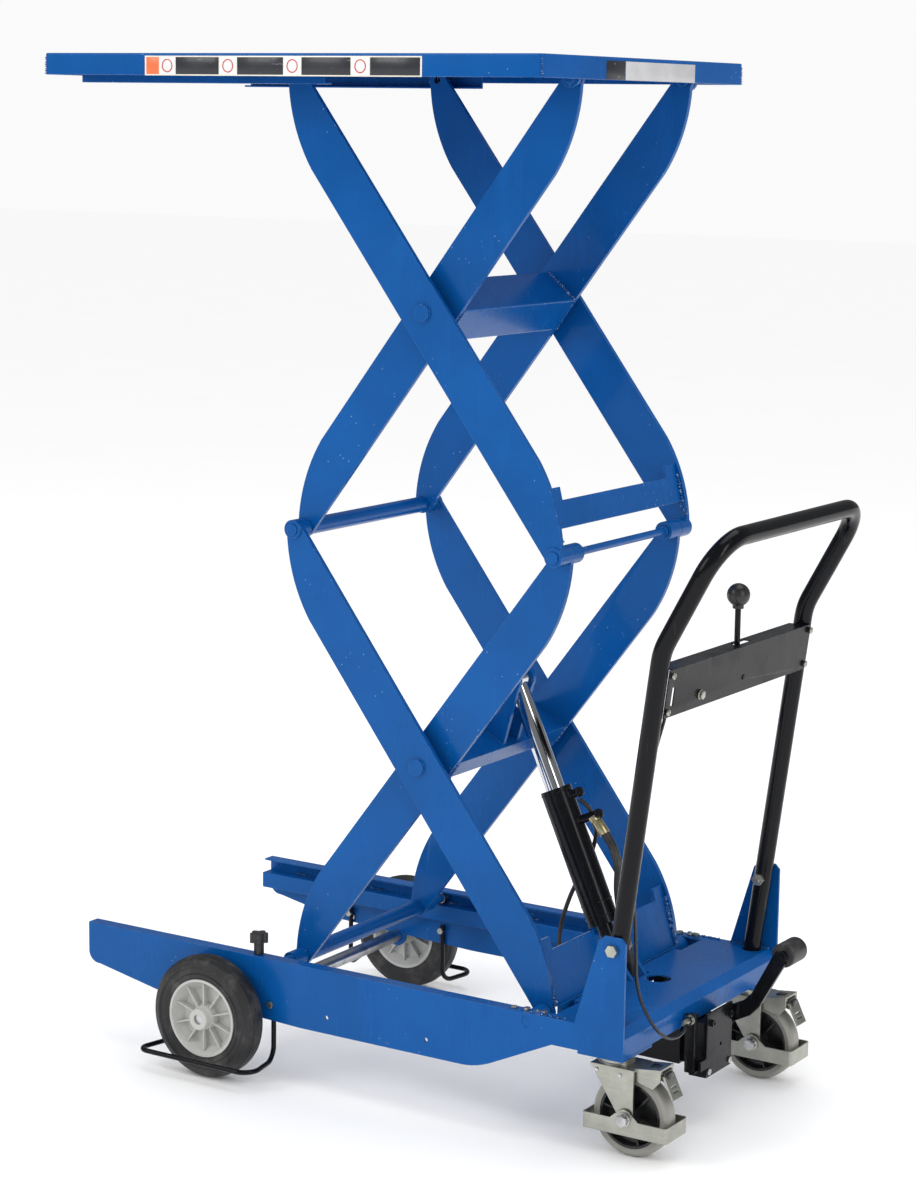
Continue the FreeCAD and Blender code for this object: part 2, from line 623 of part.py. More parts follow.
def deck_plate():
    """Deck between the rails, folded down in front and in a deep apron behind."""
    inside = RAIL_INSIDE
    under = RAIL_TOP - DECK_SHEET
    apron_foot = RAIL_REAR - DECK_SHEET
    outline = [(DECK_FRONT, RAIL_TOP), (DECK_REAR, RAIL_TOP), (RAIL_REAR, RAIL_TOP - 12),
               (RAIL_REAR, RAIL_TAIL), (apron_foot, RAIL_TAIL), (apron_foot, RAIL_TOP - 13),
               (DECK_REAR - 1, under), (DECK_FRONT + DECK_SHEET, under),
               (DECK_FRONT + DECK_SHEET, under - 22), (DECK_FRONT, under - 22)]
    deck = plate_y(outline, -inside, inside)
    x, y, radius = DECK_HOLE
    deck = deck.cut(rod_between((x, y, RAIL_TOP - 10), (x, y, RAIL_TOP + 10), radius))
    deck = deck.cut(box(DECK_FRONT - 1, DECK_FRONT + 27, -FOOT_WELL_HALF, FOOT_WELL_HALF,
                        under - 40, RAIL_TOP + 1))
    for side in SIDES.values():
        notch_end = RAIL_FLANGE_END + 0.3
        rail_notch = box(DECK_FRONT - 1, notch_end, FLANGE_EDGE - 0.3, inside + 1, under - 40, RAIL_TOP + 1)
        arm_notch = box(DECK_FRONT - 1, DECK_FRONT + DECK_NOTCH, INNER_INSIDE - 2, FLANGE_EDGE,
                        under - 40, RAIL_TOP + 1)
        deck = deck.cut([mirrored(rail_notch, side), mirrored(arm_notch, side)])
        foot_x = HANDLE_BOLT[0] + (RAIL_TOP - HANDLE_BOLT[1]) * HANDLE_LEAN
        hole = rod_between((foot_x, HANDLE_HALF_SPREAD, RAIL_TOP - 20),
                           (foot_x, HANDLE_HALF_SPREAD, RAIL_TOP + 20), HANDLE_TUBE_RADIUS + 1.5)
        deck = deck.cut(mirrored(hole, side))
    return deck.removeSplitter()


def pivot_boss():
    """Boss on the right rail that carries the lower fixed pivot."""
    return ring_y(LOW_FIXED, OUTER_ARM_FACE + 3 + COLLAR_GAP, FLANGE_EDGE - 1, ARM_END_RADIUS - 1, PIN_RADIUS)


def cylinder_lug():
    """Right lug of the pair that reaches forward from the deck to the cylinder's foot pin."""
    inner = EYE_HALF_WIDTH + LUG_GAP
    x, z = CYLINDER_FOOT
    under = RAIL_TOP - DECK_SHEET
    lug = plate_y([(x - 5, z - 8), (x + 9, z + 8), (DECK_FRONT + 27, under), (DECK_FRONT + 27, under - 40),
                   (DECK_FRONT + 4, under - 40), (DECK_FRONT - 1, under - 2)], inner, inner + LUG_THICKNESS)
    lug = lug.fuse(rod_y(CYLINDER_FOOT, inner, inner + LUG_THICKNESS, PIN_RADIUS + 4))
    return bored(lug, CYLINDER_FOOT, PIN_RADIUS).removeSplitter()


def caster_plate():
    """Plate under the rail and the apron that carries the right caster."""
    inner = CASTER_Y - 44
    return box(CASTER_X - 42, RAIL_REAR, inner, RAIL_HALF_WIDTH, RAIL_TAIL - CASTER_PLATE_SHEET, RAIL_TAIL)


def frame_bolts():
    """Small flange bolts: guard bolts through the rails and deck bolts down through the flanges."""
    bolts = []
    for side in SIDES.values():
        for x in guard_leg_places():
            shank = rod_y((x, GUARD_BOLT_HEIGHT), RAIL_INSIDE - 12, RAIL_HALF_WIDTH + 1, 2.95)
            head = hexagon_head((x, RAIL_HALF_WIDTH, GUARD_BOLT_HEIGHT), (0, 1, 0), 10.0, 4.5)
            nut = hexagon_head((x, RAIL_INSIDE - 9, GUARD_BOLT_HEIGHT), (0, -1, 0), 10.0, 4.5)
            bolts.append(mirrored(shank.fuse([head, nut]).removeSplitter(), side))
        for x in (-6.0, 24.0):
            y = (FLANGE_EDGE + RAIL_INSIDE) / 2 + 1
            bolts.append(mirrored(hexagon_head((x, y, RAIL_TOP), (0, 0, 1), 10.0, 4.5), side))
    return bolts


def handle_bolts():
    """One bolt through each ear and upright, with its nut on the inner side."""
    bolts = []
    x, z = HANDLE_BOLT
    inner = HANDLE_HALF_SPREAD - HANDLE_TUBE_RADIUS
    for side in SIDES.values():
        shank = rod_y(HANDLE_BOLT, inner - 12, RAIL_HALF_WIDTH + 1, 4.95)
        head = hexagon_head((x, RAIL_HALF_WIDTH, z), (0, 1, 0), 17.0, 7.0)
        nut = hexagon_head((x, inner, z), (0, -1, 0), 17.0, 8.0)
        bolts.append(mirrored(shank.fuse([head, nut]).removeSplitter(), side))
    return bolts


def frame_pins():
    """Fixed pins: the two lower arm pins and the cylinder's foot pin."""
    pins = [rod_y(CYLINDER_FOOT, -EYE_HALF_WIDTH - LUG_GAP - LUG_THICKNESS - 3,
                  EYE_HALF_WIDTH + LUG_GAP + LUG_THICKNESS + 3, PIN_RADIUS)]
    for side in SIDES.values():
        pins.append(mirrored(rod_y(LOW_FIXED, OUTER_INSIDE - 5, RAIL_INSIDE + 3, PIN_RADIUS), side))
    return pins


def wheel_guard():
    """Bent wire foot guard round the right load wheel."""
    front, rear = guard_leg_places()
    inner = RAIL_INSIDE - GUARD_WIRE_RADIUS
    low = GUARD_FLOOR_GAP
    top = GUARD_BOLT_HEIGHT + 8
    points = [(front, inner, top), (front, inner, low), (front - 18, GUARD_OUTREACH, low),
              (rear + 16, GUARD_OUTREACH, low), (rear, inner, low), (rear, inner, top)]
    wire = round_tube(rounded_path(points, [16, 16, 24, 24]), GUARD_WIRE_RADIUS)
    for x in (front, rear):
        wire = wire.cut(rod_y((x, GUARD_BOLT_HEIGHT), inner - 20, inner + 20, 3.0))
    return wire


def base_frame():
    for name, side in SIDES.items():
        write("side_rail_" + name, mirrored(side_rail(), side))
        write("roller_track_" + name, mirrored(roller_track(), side))
        write("wheel_guard_" + name, mirrored(wheel_guard(), side))
    write("deck_plate", deck_plate())
    brackets = []
    for side in SIDES.values():
        brackets += [mirrored(piece, side) for piece in (pivot_boss(), cylinder_lug(), caster_plate())]
    write("frame_brackets", brackets)
    axle_end = WHEEL_Y + HUB_OUTREACH - 4
    tube = ring_y((WHEEL_X, WHEEL_RADIUS), -RAIL_HALF_WIDTH, RAIL_HALF_WIDTH, AXLE_TUBE_RADIUS, AXLE_RADIUS)
    axle = rod_y((WHEEL_X, WHEEL_RADIUS), -axle_end, axle_end, AXLE_RADIUS)
    write("wheel_axle", [tube, axle])
    write("frame_pins", frame_pins())
    write("frame_bolts", frame_bolts())
    write("handle_bolts", handle_bolts())


def star_knob():
    """Five-lobed clamping knob on the left rail."""
    y = -(FLANGE_EDGE + RAIL_INSIDE) / 2
    stem = rod_between((KNOB_X, y, RAIL_TOP + 1), (KNOB_X, y, RAIL_TOP + 24), 8.0)
    screw = rod_between((KNOB_X, y, RAIL_TOP - 3.0), (KNOB_X, y, RAIL_TOP + 2), 4.0)
    cap = rod_between((KNOB_X, y, RAIL_TOP + 20), (KNOB_X, y, RAIL_TOP + 35), 11.0)
    for i in range(5):
        turn = math.radians(72 * i + 20)
        lobe_x = KNOB_X + 10 * math.cos(turn)
        lobe_y = y + 10 * math.sin(turn)
        cap = cap.fuse(rod_between((lobe_x, lobe_y, RAIL_TOP + 20), (lobe_x, lobe_y, RAIL_TOP + 35),
                                   KNOB_RADIUS - 10))
    return stem.fuse([screw, cap]).removeSplitter()


# ---- load wheels ---------------------------------------------------------------------
def tyre():
    """Solid rubber tyre with stepped side walls and two tread grooves."""
    h = WHEEL_WIDTH / 2
    r = WHEEL_RADIUS
    profile = [(RIM_RADIUS, WHEEL_Y - h + 3), (RIM_RADIUS + 10, WHEEL_Y - h), (r - 14, WHEEL_Y - h),
               (r - 5, WHEEL_Y - h + 4), (r - 1.5, WHEEL_Y - h + 9), (r - 3.5, WHEEL_Y - h + 10.5),
               (r - 1, WHEEL_Y - h + 12), (r, WHEEL_Y), (r - 1, WHEEL_Y + h - 12),
               (r - 3.5, WHEEL_Y + h - 10.5), (r - 1.5, WHEEL_Y + h - 9), (r - 5, WHEEL_Y + h - 4),
               (r - 14, WHEEL_Y + h), (RIM_RADIUS + 20, WHEEL_Y + h), (RIM_RADIUS + 18, WHEEL_Y + h - 2),
               (RIM_RADIUS + 10, WHEEL_Y + h - 2), (RIM_RADIUS + 8, WHEEL_Y + h),
               (RIM_RADIUS, WHEEL_Y + h - 3)]
    return turned_y(profile, WHEEL_X, WHEEL_RADIUS)


def wheel_hub():
    """Plastic hub: rim, thin web, radial ribs and a stepped boss."""
    h = WHEEL_WIDTH / 2 - 2.0
    y = WHEEL_Y
    bore = AXLE_RADIUS + RUNNING_CLEARANCE
    inner = RIM_RADIUS - RIM_WALL
    profile = [(bore, y - HUB_OUTREACH + 2), (HUB_RADIUS, y - HUB_OUTREACH + 2), (HUB_RADIUS + 3, y - 4),
               (inner - 12, y - 4), (inner, y - h), (RIM_RADIUS, y - h), (RIM_RADIUS, y + h + 1),
               (inner + 1, y + h + 1), (inner - 4, y + 10), (inner - 12, y + 2), (HUB_RADIUS + 4, y + 2),
               (HUB_RADIUS + 1, y + 17), (HUB_RADIUS - 1, y + 17), (HUB_RADIUS - 1, y + HUB_OUTREACH - 1),
               (HUB_RADIUS - 2.5, y + HUB_OUTREACH), (bore, y + HUB_OUTREACH)]
    hub = turned_y(profile, WHEEL_X, WHEEL_RADIUS)
    ribs = []
    for i in range(WHEEL_RIBS):
        rib = box(WHEEL_X + HUB_RADIUS - 1, WHEEL_X + inner + 1, y - h + 6, y + h - 5, WHEEL_RADIUS - 1.2,
                  WHEEL_RADIUS + 1.2)
        rib.rotate(vec(WHEEL_X, y, WHEEL_RADIUS), vec(0, 1, 0), 360 / WHEEL_RIBS * i + 18)
        ribs.append(rib)
    return hub.fuse(ribs).removeSplitter()


def load_wheels():
    for name, side in SIDES.items():
        write("wheel_tyre_" + name, mirrored(tyre(), side))
        write("wheel_hub_" + name, mirrored(wheel_hub(), side))


# ---- casters -------------------------------------------------------------------------
def caster_axle():
    return CASTER_X + CASTER_TRAIL, CASTER_WHEEL_RADIUS


def caster_fork():
    """Swivel head, tapered legs and brake housing in zinc-plated sheet, drawn for the right side."""
    y = CASTER_Y
    top = CASTER_CROWN_HEIGHT
    x = CASTER_X
    ax, az = caster_axle()
    sheet = CASTER_FORK_SHEET
    crown = box(x - 29, x + 44, y - CASTER_FORK_HALF - sheet, y + CASTER_FORK_HALF + sheet, top - sheet, top)
    leg = plate_y([(x - 29, top), (x + 44, top), (x + 44, az), (ax + 11, az - 9), (ax - 11, az - 9),
                   (ax - 14, az + 4)], y + CASTER_FORK_HALF, y + CASTER_FORK_HALF + sheet)
    other = leg.copy()
    other.translate(vec(0, -2 * CASTER_FORK_HALF - sheet, 0))
    race = rod_between((x, y, top - 1), (x, y, RAIL_TAIL - CASTER_PLATE_SHEET - 3.0), 27.0)
    head = rod_between((x, y, top - 1), (x, y, RAIL_TAIL - CASTER_PLATE_SHEET - 0.3), 20.0)
    housing = plate_y([(x + 30, top), (x + 84, top + 6), (x + 84, top - 12), (x + 72, top - 26),
                       (x + 44, top - 18)], y - 21, y + 21)
    hollow = plate_y([(x + 20, top - 3), (x + 81, top + 3), (x + 90, top - 12), (x + 72, top - 40),
                      (x + 20, top - 40)], y - 18, y + 18)
    housing = housing.cut(hollow)
    fork = crown.fuse([leg, other, race, head, housing])
    return bored(fork, (ax, az), 6.0).removeSplitter()


def caster_guard():
    """Foot guard band round the caster wheel, with an ear over each fork leg."""
    y = CASTER_Y
    ax, az = caster_axle()
    outer_half = CASTER_FORK_HALF + CASTER_FORK_SHEET + 4.5
    sheet = 2.0
    x0 = ax - CASTER_WHEEL_RADIUS - 7
    x1 = ax + CASTER_WHEEL_RADIUS + 7
    low = az - 25
    high = az - 1
    band = box(x0, x1, y - outer_half, y + outer_half, low, high)
    corners = [e for e in band.Edges if abs(e.Vertexes[0].Z - e.Vertexes[-1].Z) > 1]
    band = band.makeFillet(5.0, corners)
    inside = box(x0 + sheet, x1 - sheet, y - outer_half + sheet, y + outer_half - sheet, low - 1, high + 1)
    corners = [e for e in inside.Edges if abs(e.Vertexes[0].Z - e.Vertexes[-1].Z) > 1]
    band = band.cut(inside.makeFillet(3.0, corners))
    ear = plate_y([(ax - 24, high), (ax - 15, high + 8), (ax + 15, high + 8), (ax + 24, high)],
                  y + outer_half - sheet, y + outer_half)
    ear = ear.fuse(rod_y((ax, az), y + outer_half - sheet, y + outer_half, 15.0))
    other = ear.copy()
    other.translate(vec(0, -2 * outer_half + sheet, 0))
    band = band.fuse([ear, other])
    return bored(band, (ax, az), 6.0).removeSplitter()


def caster_bolt():
    y = CASTER_Y
    ax, az = caster_axle()
    reach = CASTER_FORK_HALF + CASTER_FORK_SHEET + 4.5
    shank = rod_y((ax, az), y - reach - 2, y + reach + 2, 5.95)
    head = hexagon_head((ax, y + reach, az), (0, 1, 0), 17.0, 7.0)
    nut = hexagon_head((ax, y - reach, az), (0, -1, 0), 17.0, 8.0)
    spacers = [rod_y((ax, az), y + s * (CASTER_FORK_HALF + CASTER_FORK_SHEET), y + s * (reach - 2), 9.0)
               for s in (-1, 1)]
    return shank.fuse([head, nut] + spacers).removeSplitter()


def caster_tread():
    ax, az = caster_axle()
    h = CASTER_WHEEL_WIDTH / 2
    r = CASTER_WHEEL_RADIUS
    inner = r - CASTER_TREAD
    y = CASTER_Y
    profile = [(inner, y - h + 2), (r - 6, y - h), (r - 2, y - h + 4), (r, y - h + 10), (r, y + h - 10),
               (r - 2, y + h - 4), (r - 6, y + h), (inner, y + h - 2)]
    return turned_y(profile, ax, az)


def caster_core():
    """Ribbed plastic core with a broad hub."""
    ax, az = caster_axle()
    y = CASTER_Y
    h = CASTER_WHEEL_WIDTH / 2
    outer = CASTER_WHEEL_RADIUS - CASTER_TREAD
    bore = 5.95 + RUNNING_CLEARANCE
    hub = CASTER_FORK_HALF - 1.0
    profile = [(bore, y - hub), (13, y - hub), (15, y - 5), (outer - 7, y - 5), (outer - 4, y - h + 2),
               (outer, y - h + 2), (outer, y + h - 2), (outer - 4, y + h - 2), (outer - 7, y + 5),
               (15, y + 5), (13, y + hub), (bore, y + hub)]
    core = turned_y(profile, ax, az)
    ribs = []
    for i in range(CASTER_RIBS):
        rib = box(ax + 12, ax + outer - 2, y - h + 4, y + h - 4, az - 1.5, az + 1.5)
        rib.rotate(vec(ax, y, az), vec(0, 1, 0), 360 / CASTER_RIBS * i + 12)
        ribs.append(rib)
    return core.fuse(ribs).removeSplitter()


def brake_pedal():
    """Sheet pedal with two slots, pivoted in the brake housing."""
    y = CASTER_Y
    x = CASTER_X + 84
    z = CASTER_CROWN_HEIGHT - 2
    plate = plate_y([(x - 12, z - 3), (x - 10, z), (x + 4, z - 3), (x + 20, z - 36), (x + 17.5, z - 37.5),
                     (x + 2, z - 7)], y - 15, y + 15)
    for along in (0.55, 0.75):
        slot = box(x + 20 * along - 2, x + 20 * along + 10, y - 8, y + 8, z - 36 * along - 1.5,
                   z - 36 * along + 1.5)
        plate = plate.cut(slot)
    return plate.fuse(rod_y((x - 8, z - 6), y - 17, y + 17, 4.0)).removeSplitter()


def casters():
    for name, side in SIDES.items():
        fork_pieces = [mirrored(piece, side) for piece in (caster_fork(), caster_guard(), caster_bolt())]
        write("caster_fork_" + name, fork_pieces)
        write("caster_tread_" + name, mirrored(caster_tread(), side))
        write("caster_core_" + name, mirrored(caster_core(), side))
        write("brake_pedal_" + name, mirrored(brake_pedal(), side))


# ---- handle and release lever --------------------------------------------------------
def lean(z):
    """Centre of the uprights, in X, at height z below their bend."""
    return HANDLE_BOLT[0] + (z - HANDLE_BOLT[1]) * HANDLE_LEAN


def handle_frame():
    """One tube bent into two uprights, two sloping runs and the grip."""
    y = HANDLE_HALF_SPREAD
    foot = RAIL_TOP - DECK_SHEET - 6
    points = [(lean(foot), -y, foot), (HANDLE_BEND[0], -y, HANDLE_BEND[1]),
              (HANDLE_GRIP[0], -y, HANDLE_GRIP[1]), (HANDLE_GRIP[0], y, HANDLE_GRIP[1]),
              (HANDLE_BEND[0], y, HANDLE_BEND[1]), (lean(foot), y, foot)]
    bends = [HANDLE_BEND_RADIUS, HANDLE_CORNER_RADIUS, HANDLE_CORNER_RADIUS, HANDLE_BEND_RADIUS]
    tube = round_tube(rounded_path(points, bends), HANDLE_TUBE_RADIUS, HANDLE_TUBE_RADIUS - 2)
    return bored(tube, HANDLE_BOLT, 5.0)


def handle_panel():
    """Folded cover between the uprights: face, top flange with the lever's slot, bottom flange."""
    half = HANDLE_HALF_SPREAD - 3
    low = PANEL_TOP - PANEL_HEIGHT
    front_top = lean(PANEL_TOP) + HANDLE_TUBE_RADIUS + 0.5
    front_low = lean(low) + HANDLE_TUBE_RADIUS + 0.5
    s = PANEL_SHEET
    face = plate_y([(front_top, PANEL_TOP), (front_top + s, PANEL_TOP), (front_low + s, low),
                    (front_low, low)], -half, half)
    inner = HANDLE_HALF_SPREAD - HANDLE_TUBE_RADIUS - 1
    top = box(front_top - PANEL_DEPTH, front_top + s, -inner, inner, PANEL_TOP - s, PANEL_TOP)
    lever_x, _ = lever_pivot()
    slot = box(lever_x - 6.5, lever_x + 6.5, LEVER_Y - 12, LEVER_Y + 36, PANEL_TOP - 10, PANEL_TOP + 10)
    window = box(front_low - 20, front_top + 20, -213 - 4, -213 + 4, low + 16, low + 44)
    panel = face.fuse(top.cut(slot)).cut(window)
    panel = panel.cut(box(front_low - 20, front_top + 20, -400, 400, low - 5, low))
    screws = []
    for y in (-half + 6, half - 6):
        for z in (PANEL_TOP - 9, low + 9):
            x = lean(z) + HANDLE_TUBE_RADIUS + 0.5 + s
            screws.append(rod_between((x - 0.4, y, z), (x + 2.6, y, z), 4.5))
    pivot_z = PANEL_TOP - LEVER_PIVOT_DROP
    pivot_x = lean(pivot_z) + HANDLE_TUBE_RADIUS
    pivot = rod_between((pivot_x - 16, LEVER_Y, pivot_z), (pivot_x + 4, LEVER_Y, pivot_z), 4.0)
    return panel.fuse(screws + [pivot]).removeSplitter()


def lever_pivot():
    """X and Z of the release lever's pivot, behind the panel's face."""
    z = PANEL_TOP - LEVER_PIVOT_DROP
    return lean(z) + HANDLE_TUBE_RADIUS - 10, z


def release_lever():
    """Rod lever that swings sideways through the slot in the panel's top flange."""
    x, z = lever_pivot()
    rod = rod_between((x, LEVER_Y, z), (x, LEVER_Y, LEVER_TOP - BALL_RADIUS + 2), LEVER_RADIUS)
    boss = rod_between((x - 5, LEVER_Y, z), (x + 5, LEVER_Y, z), 9.0)
    crank = box(x - 3, x + 3, LEVER_Y - 30, LEVER_Y, z - 5, z + 5)
    lever = rod.fuse([boss, crank])
    bore = rod_between((x - 20, LEVER_Y, z), (x + 20, LEVER_Y, z), 4.0 + RUNNING_CLEARANCE)
    return lever.cut(bore).removeSplitter()


def lever_ball():
    x, _ = lever_pivot()
    ball = Part.makeSphere(BALL_RADIUS, vec(x, LEVER_Y, LEVER_TOP))
    low = LEVER_TOP - BALL_RADIUS
    neck = rod_between((x, LEVER_Y, low - 3), (x, LEVER_Y, low + 5), 8.5)
    socket = rod_between((x, LEVER_Y, low - 5), (x, LEVER_Y, low + 2), LEVER_RADIUS)
    return ball.fuse(neck).cut(socket).removeSplitter()


def release_cable():
    """Cable from the panel down the left upright, in a loop to the pump's release arm."""
    x, z = lever_pivot()
    y = -HANDLE_HALF_SPREAD + HANDLE_TUBE_RADIUS + 4
    route = [(x + 1, y + 14, z - 8), (x - 2, y + 7, z - 34), (lean(620) + 3, y + 1, 620),
             (lean(580), y, 580), (lean(540), y + 0.6, 540), (lean(500), y, 500), (lean(460), y + 0.6, 460),
             (lean(420), y, 420), (lean(384) + 4, y + 1, 384),
             (lean(346) + 12, y + 1, 346), (lean(306) + 19, y + 2, 306), (lean(266) + 25, y + 3, 266),
             (170, y + 7, 232), (182, y + 16, 203),
             (188, y + 36, 181), (190, y + 62, 168), (189, y + 92, 163), (184, y + 120, 166), CABLE_END]
    return cord("release_cable", route, CABLE_RADIUS)


def handle():
    write("handle_frame", handle_frame())
    write("handle_panel", handle_panel())
    write("release_lever", release_lever())
    write("lever_ball", lever_ball())
    write("release_cable", release_cable())


# ---- pump ----------------------------------------------------------------------------
def pump_body():
    """Oil tank and pump block that hang under the deck."""
    top = RAIL_TOP - DECK_SHEET
    tank = box(PUMP_FRONT, DECK_REAR - 4, -PUMP_HALF_WIDTH, PUMP_HALF_WIDTH, PUMP_BOTTOM, top)
    tank = tank.cut(box(PUMP_FRONT - 1, PUMP_FRONT + 30, -FOOT_WELL_HALF, FOOT_WELL_HALF, 140, top + 1))
    edges = [e for e in tank.Edges if all(abs(v.Z - PUMP_BOTTOM) < 0.01 for v in e.Vertexes)]
    tank = tank.makeFillet(4.0, edges)
    block = box(DECK_REAR - 14, PUMP_PLATE_X, -PUMP_HALF_WIDTH + 14, PUMP_HALF_WIDTH - 14,
                PUMP_PLATE_BOTTOM + 14, RAIL_TAIL - 2)
    return tank.fuse(block).removeSplitter()


def pump_plate():
    """Folded front plate with two socket screws, and the bracket that holds the cable's end."""
    h = PUMP_HALF_WIDTH
    x = PUMP_PLATE_X
    low = PUMP_PLATE_BOTTOM
    arm_y, arm_z = release_pivot()
    plate = box(x, x + PUMP_PLATE_SHEET, -h, h - 3, low, PUMP_PLATE_TOP)
    tab = box(x, x + PUMP_PLATE_SHEET, -h - 18, -h, arm_z - 8, arm_z + 8)
    pin = rod_between((x - 24, arm_y, arm_z), (x + 1, arm_y, arm_z), RELEASE_PIN_RADIUS)
    cheek = box(x - 26, x, -h, -h + PUMP_PLATE_SHEET, low, low + 16)
    foot = box(x - 22, x - 4, -h - 23, -h + PUMP_PLATE_SHEET, low + 12, low + 15)
    bracket = box(x - 22, x - 6, -h - 23, -h - 20, low + 12, CABLE_END[2] + 9)
    cable_x, cable_y, cable_z = CABLE_END
    nut = hexagon_head((cable_x, -h - 23, cable_z), (0, -1, 0), 12.0, 6.0)
    sleeve = rod_y((cable_x, cable_z), cable_y + 1.6, -h - 28, 4.0)
    plate = plate.fuse([tab, pin, cheek, foot, bracket, nut, sleeve])
    plate = plate.cut(rod_between((x - 1, 4, 118), (x + 9, 4, 118), 3.0))
    for y in (-h + 12, h - 14):
        screw = rod_between((x + PUMP_PLATE_SHEET, y, PUMP_PLATE_TOP - 16),
                            (x + PUMP_PLATE_SHEET + 6, y, PUMP_PLATE_TOP - 16), 5.5)
        socket = hexagon_head((x + PUMP_PLATE_SHEET + 3, y, PUMP_PLATE_TOP - 16), (1, 0, 0), 5.0, 6.0)
        plate = plate.fuse(screw.cut(socket))
    return plate.removeSplitter()


def release_pivot():
    """Y and Z of the release arm's pivot, whose pin runs along X."""
    return -PUMP_HALF_WIDTH - 10.5, PUMP_PLATE_BOTTOM + 23


def release_arm():
    """Flat arm beside the pump, tilted towards the cable's bracket to let the table down."""
    y, z = release_pivot()
    x = PUMP_PLATE_X - 20
    arm = box(x, x + 12, y - 2.5, y + 2.5, z, CABLE_END[2] + 7)
    arm = arm.fuse(rod_between((x, y, z), (x + 12, y, z), 6.0))
    bore = rod_between((x - 9, y, z), (x + 19, y, z), RELEASE_PIN_RADIUS + RUNNING_CLEARANCE)
    return arm.cut(bore).removeSplitter()


def pedal_arm():
    """Cranked bar from the pump's pivot up to the foot pad."""
    x, z = PEDAL_PIVOT
    px, pz = PEDAL_PAD
    y = PUMP_HALF_WIDTH + 2
    bar = plate_y([(x + 5, z - 12), (x + 40, z + 6), (x + 56, z + 24), (px + 8, pz - 10), (px - 10, pz + 6),
                   (x + 42, z + 42), (x + 28, z + 28), (x - 5, z + 12)], y, y + 8)
    bar = bar.fuse(rod_y(PEDAL_PIVOT, y, y + 8, 13.0))
    return bar.fuse(rod_y(PEDAL_PAD, y + 2, y + 4 + PEDAL_PAD_LENGTH, 8.0)).removeSplitter()


def pedal_pad():
    y = PUMP_HALF_WIDTH + 10.2
    pad = rod_y(PEDAL_PAD, y, y + PEDAL_PAD_LENGTH, PEDAL_PAD_RADIUS)
    ends = [e for e in pad.Edges if e.Curve.TypeId == "Part::GeomCircle"]
    pad = pad.makeFillet(2.5, ends)
    return pad.cut(rod_y(PEDAL_PAD, y - 1, y + PEDAL_PAD_LENGTH - 2, 8.0))


def pump():
    pivot = rod_y(PEDAL_PIVOT, PUMP_HALF_WIDTH - 20, PUMP_HALF_WIDTH + 1, 6.0)
    write("pump_body", pump_body().fuse(pivot).removeSplitter())
    write("pump_plate", pump_plate())
    write("release_arm", release_arm())
    write("pedal_arm", pedal_arm())
    write("pedal_pad", pedal_pad())


# ---- hydraulic cylinder --------------------------------------------------------------
def cylinder_point(along, across, y=0.0):
    """Point at a distance along the cylinder from its foot pin, and across it towards +X."""
    head = on_arm(LOW_ROLLER, MID_REAR, CYLINDER_HEAD_ALONG, CYLINDER_HEAD_OFFSET)
    length = math.hypot(head[0] - CYLINDER_FOOT[0], head[1] - CYLINDER_FOOT[1])
    u = ((head[0] - CYLINDER_FOOT[0]) / length, (head[1] - CYLINDER_FOOT[1]) / length)
    x = CYLINDER_FOOT[0] + u[0] * along + u[1] * across
    z = CYLINDER_FOOT[1] + u[1] * along - u[0] * across
    return x, y, z


def cylinder_length():
    head = on_arm(LOW_ROLLER, MID_REAR, CYLINDER_HEAD_ALONG, CYLINDER_HEAD_OFFSET)
    return math.hypot(head[0] - CYLINDER_FOOT[0], head[1] - CYLINDER_FOOT[1])


def cylinder_barrel():
    """Barrel with its foot eye, gland and the two banjo fittings."""
    start = BARREL_START
    end = start + BARREL_LENGTH
    tube = rod_between(cylinder_point(start, 0), cylinder_point(end, 0), BARREL_RADIUS)
    inner = BARREL_RADIUS - BARREL_WALL
    bore = rod_between(cylinder_point(start + 12, 0), cylinder_point(end - 14, 0), inner)
    gland_radius = ROD_RADIUS + RUNNING_CLEARANCE
    gland = rod_between(cylinder_point(end - 15, 0), cylinder_point(end + 1, 0), gland_radius)
    barrel = tube.cut(bore).cut(gland)
    neck = rod_between(cylinder_point(8, 0), cylinder_point(start + 1, 0), 13.0)
    eye = rod_y(CYLINDER_FOOT, -EYE_HALF_WIDTH, EYE_HALF_WIDTH, EYE_RADIUS)
    barrel = barrel.fuse([neck, eye])
    for along, reach in ((end - 17, 12), (end - 59, 32)):
        barrel = barrel.fuse(rod_between(cylinder_point(along, BARREL_RADIUS - 3),
                                         cylinder_point(along, BARREL_RADIUS + reach), 7.0))
    barrel = bored(barrel, CYLINDER_FOOT, PIN_HOLE)
    return barrel.removeSplitter()


def cylinder_rod():
    """Chromed rod with its head eye."""
    total = cylinder_length()
    start = BARREL_START + BARREL_LENGTH - ROD_ENGAGEMENT
    rod = rod_between(cylinder_point(start, 0), cylinder_point(total - 10, 0), ROD_RADIUS)
    head = cylinder_point(total, 0)
    eye = rod_y((head[0], head[2]), -EYE_HALF_WIDTH, EYE_HALF_WIDTH, EYE_RADIUS)
    return rod.fuse(eye).removeSplitter()


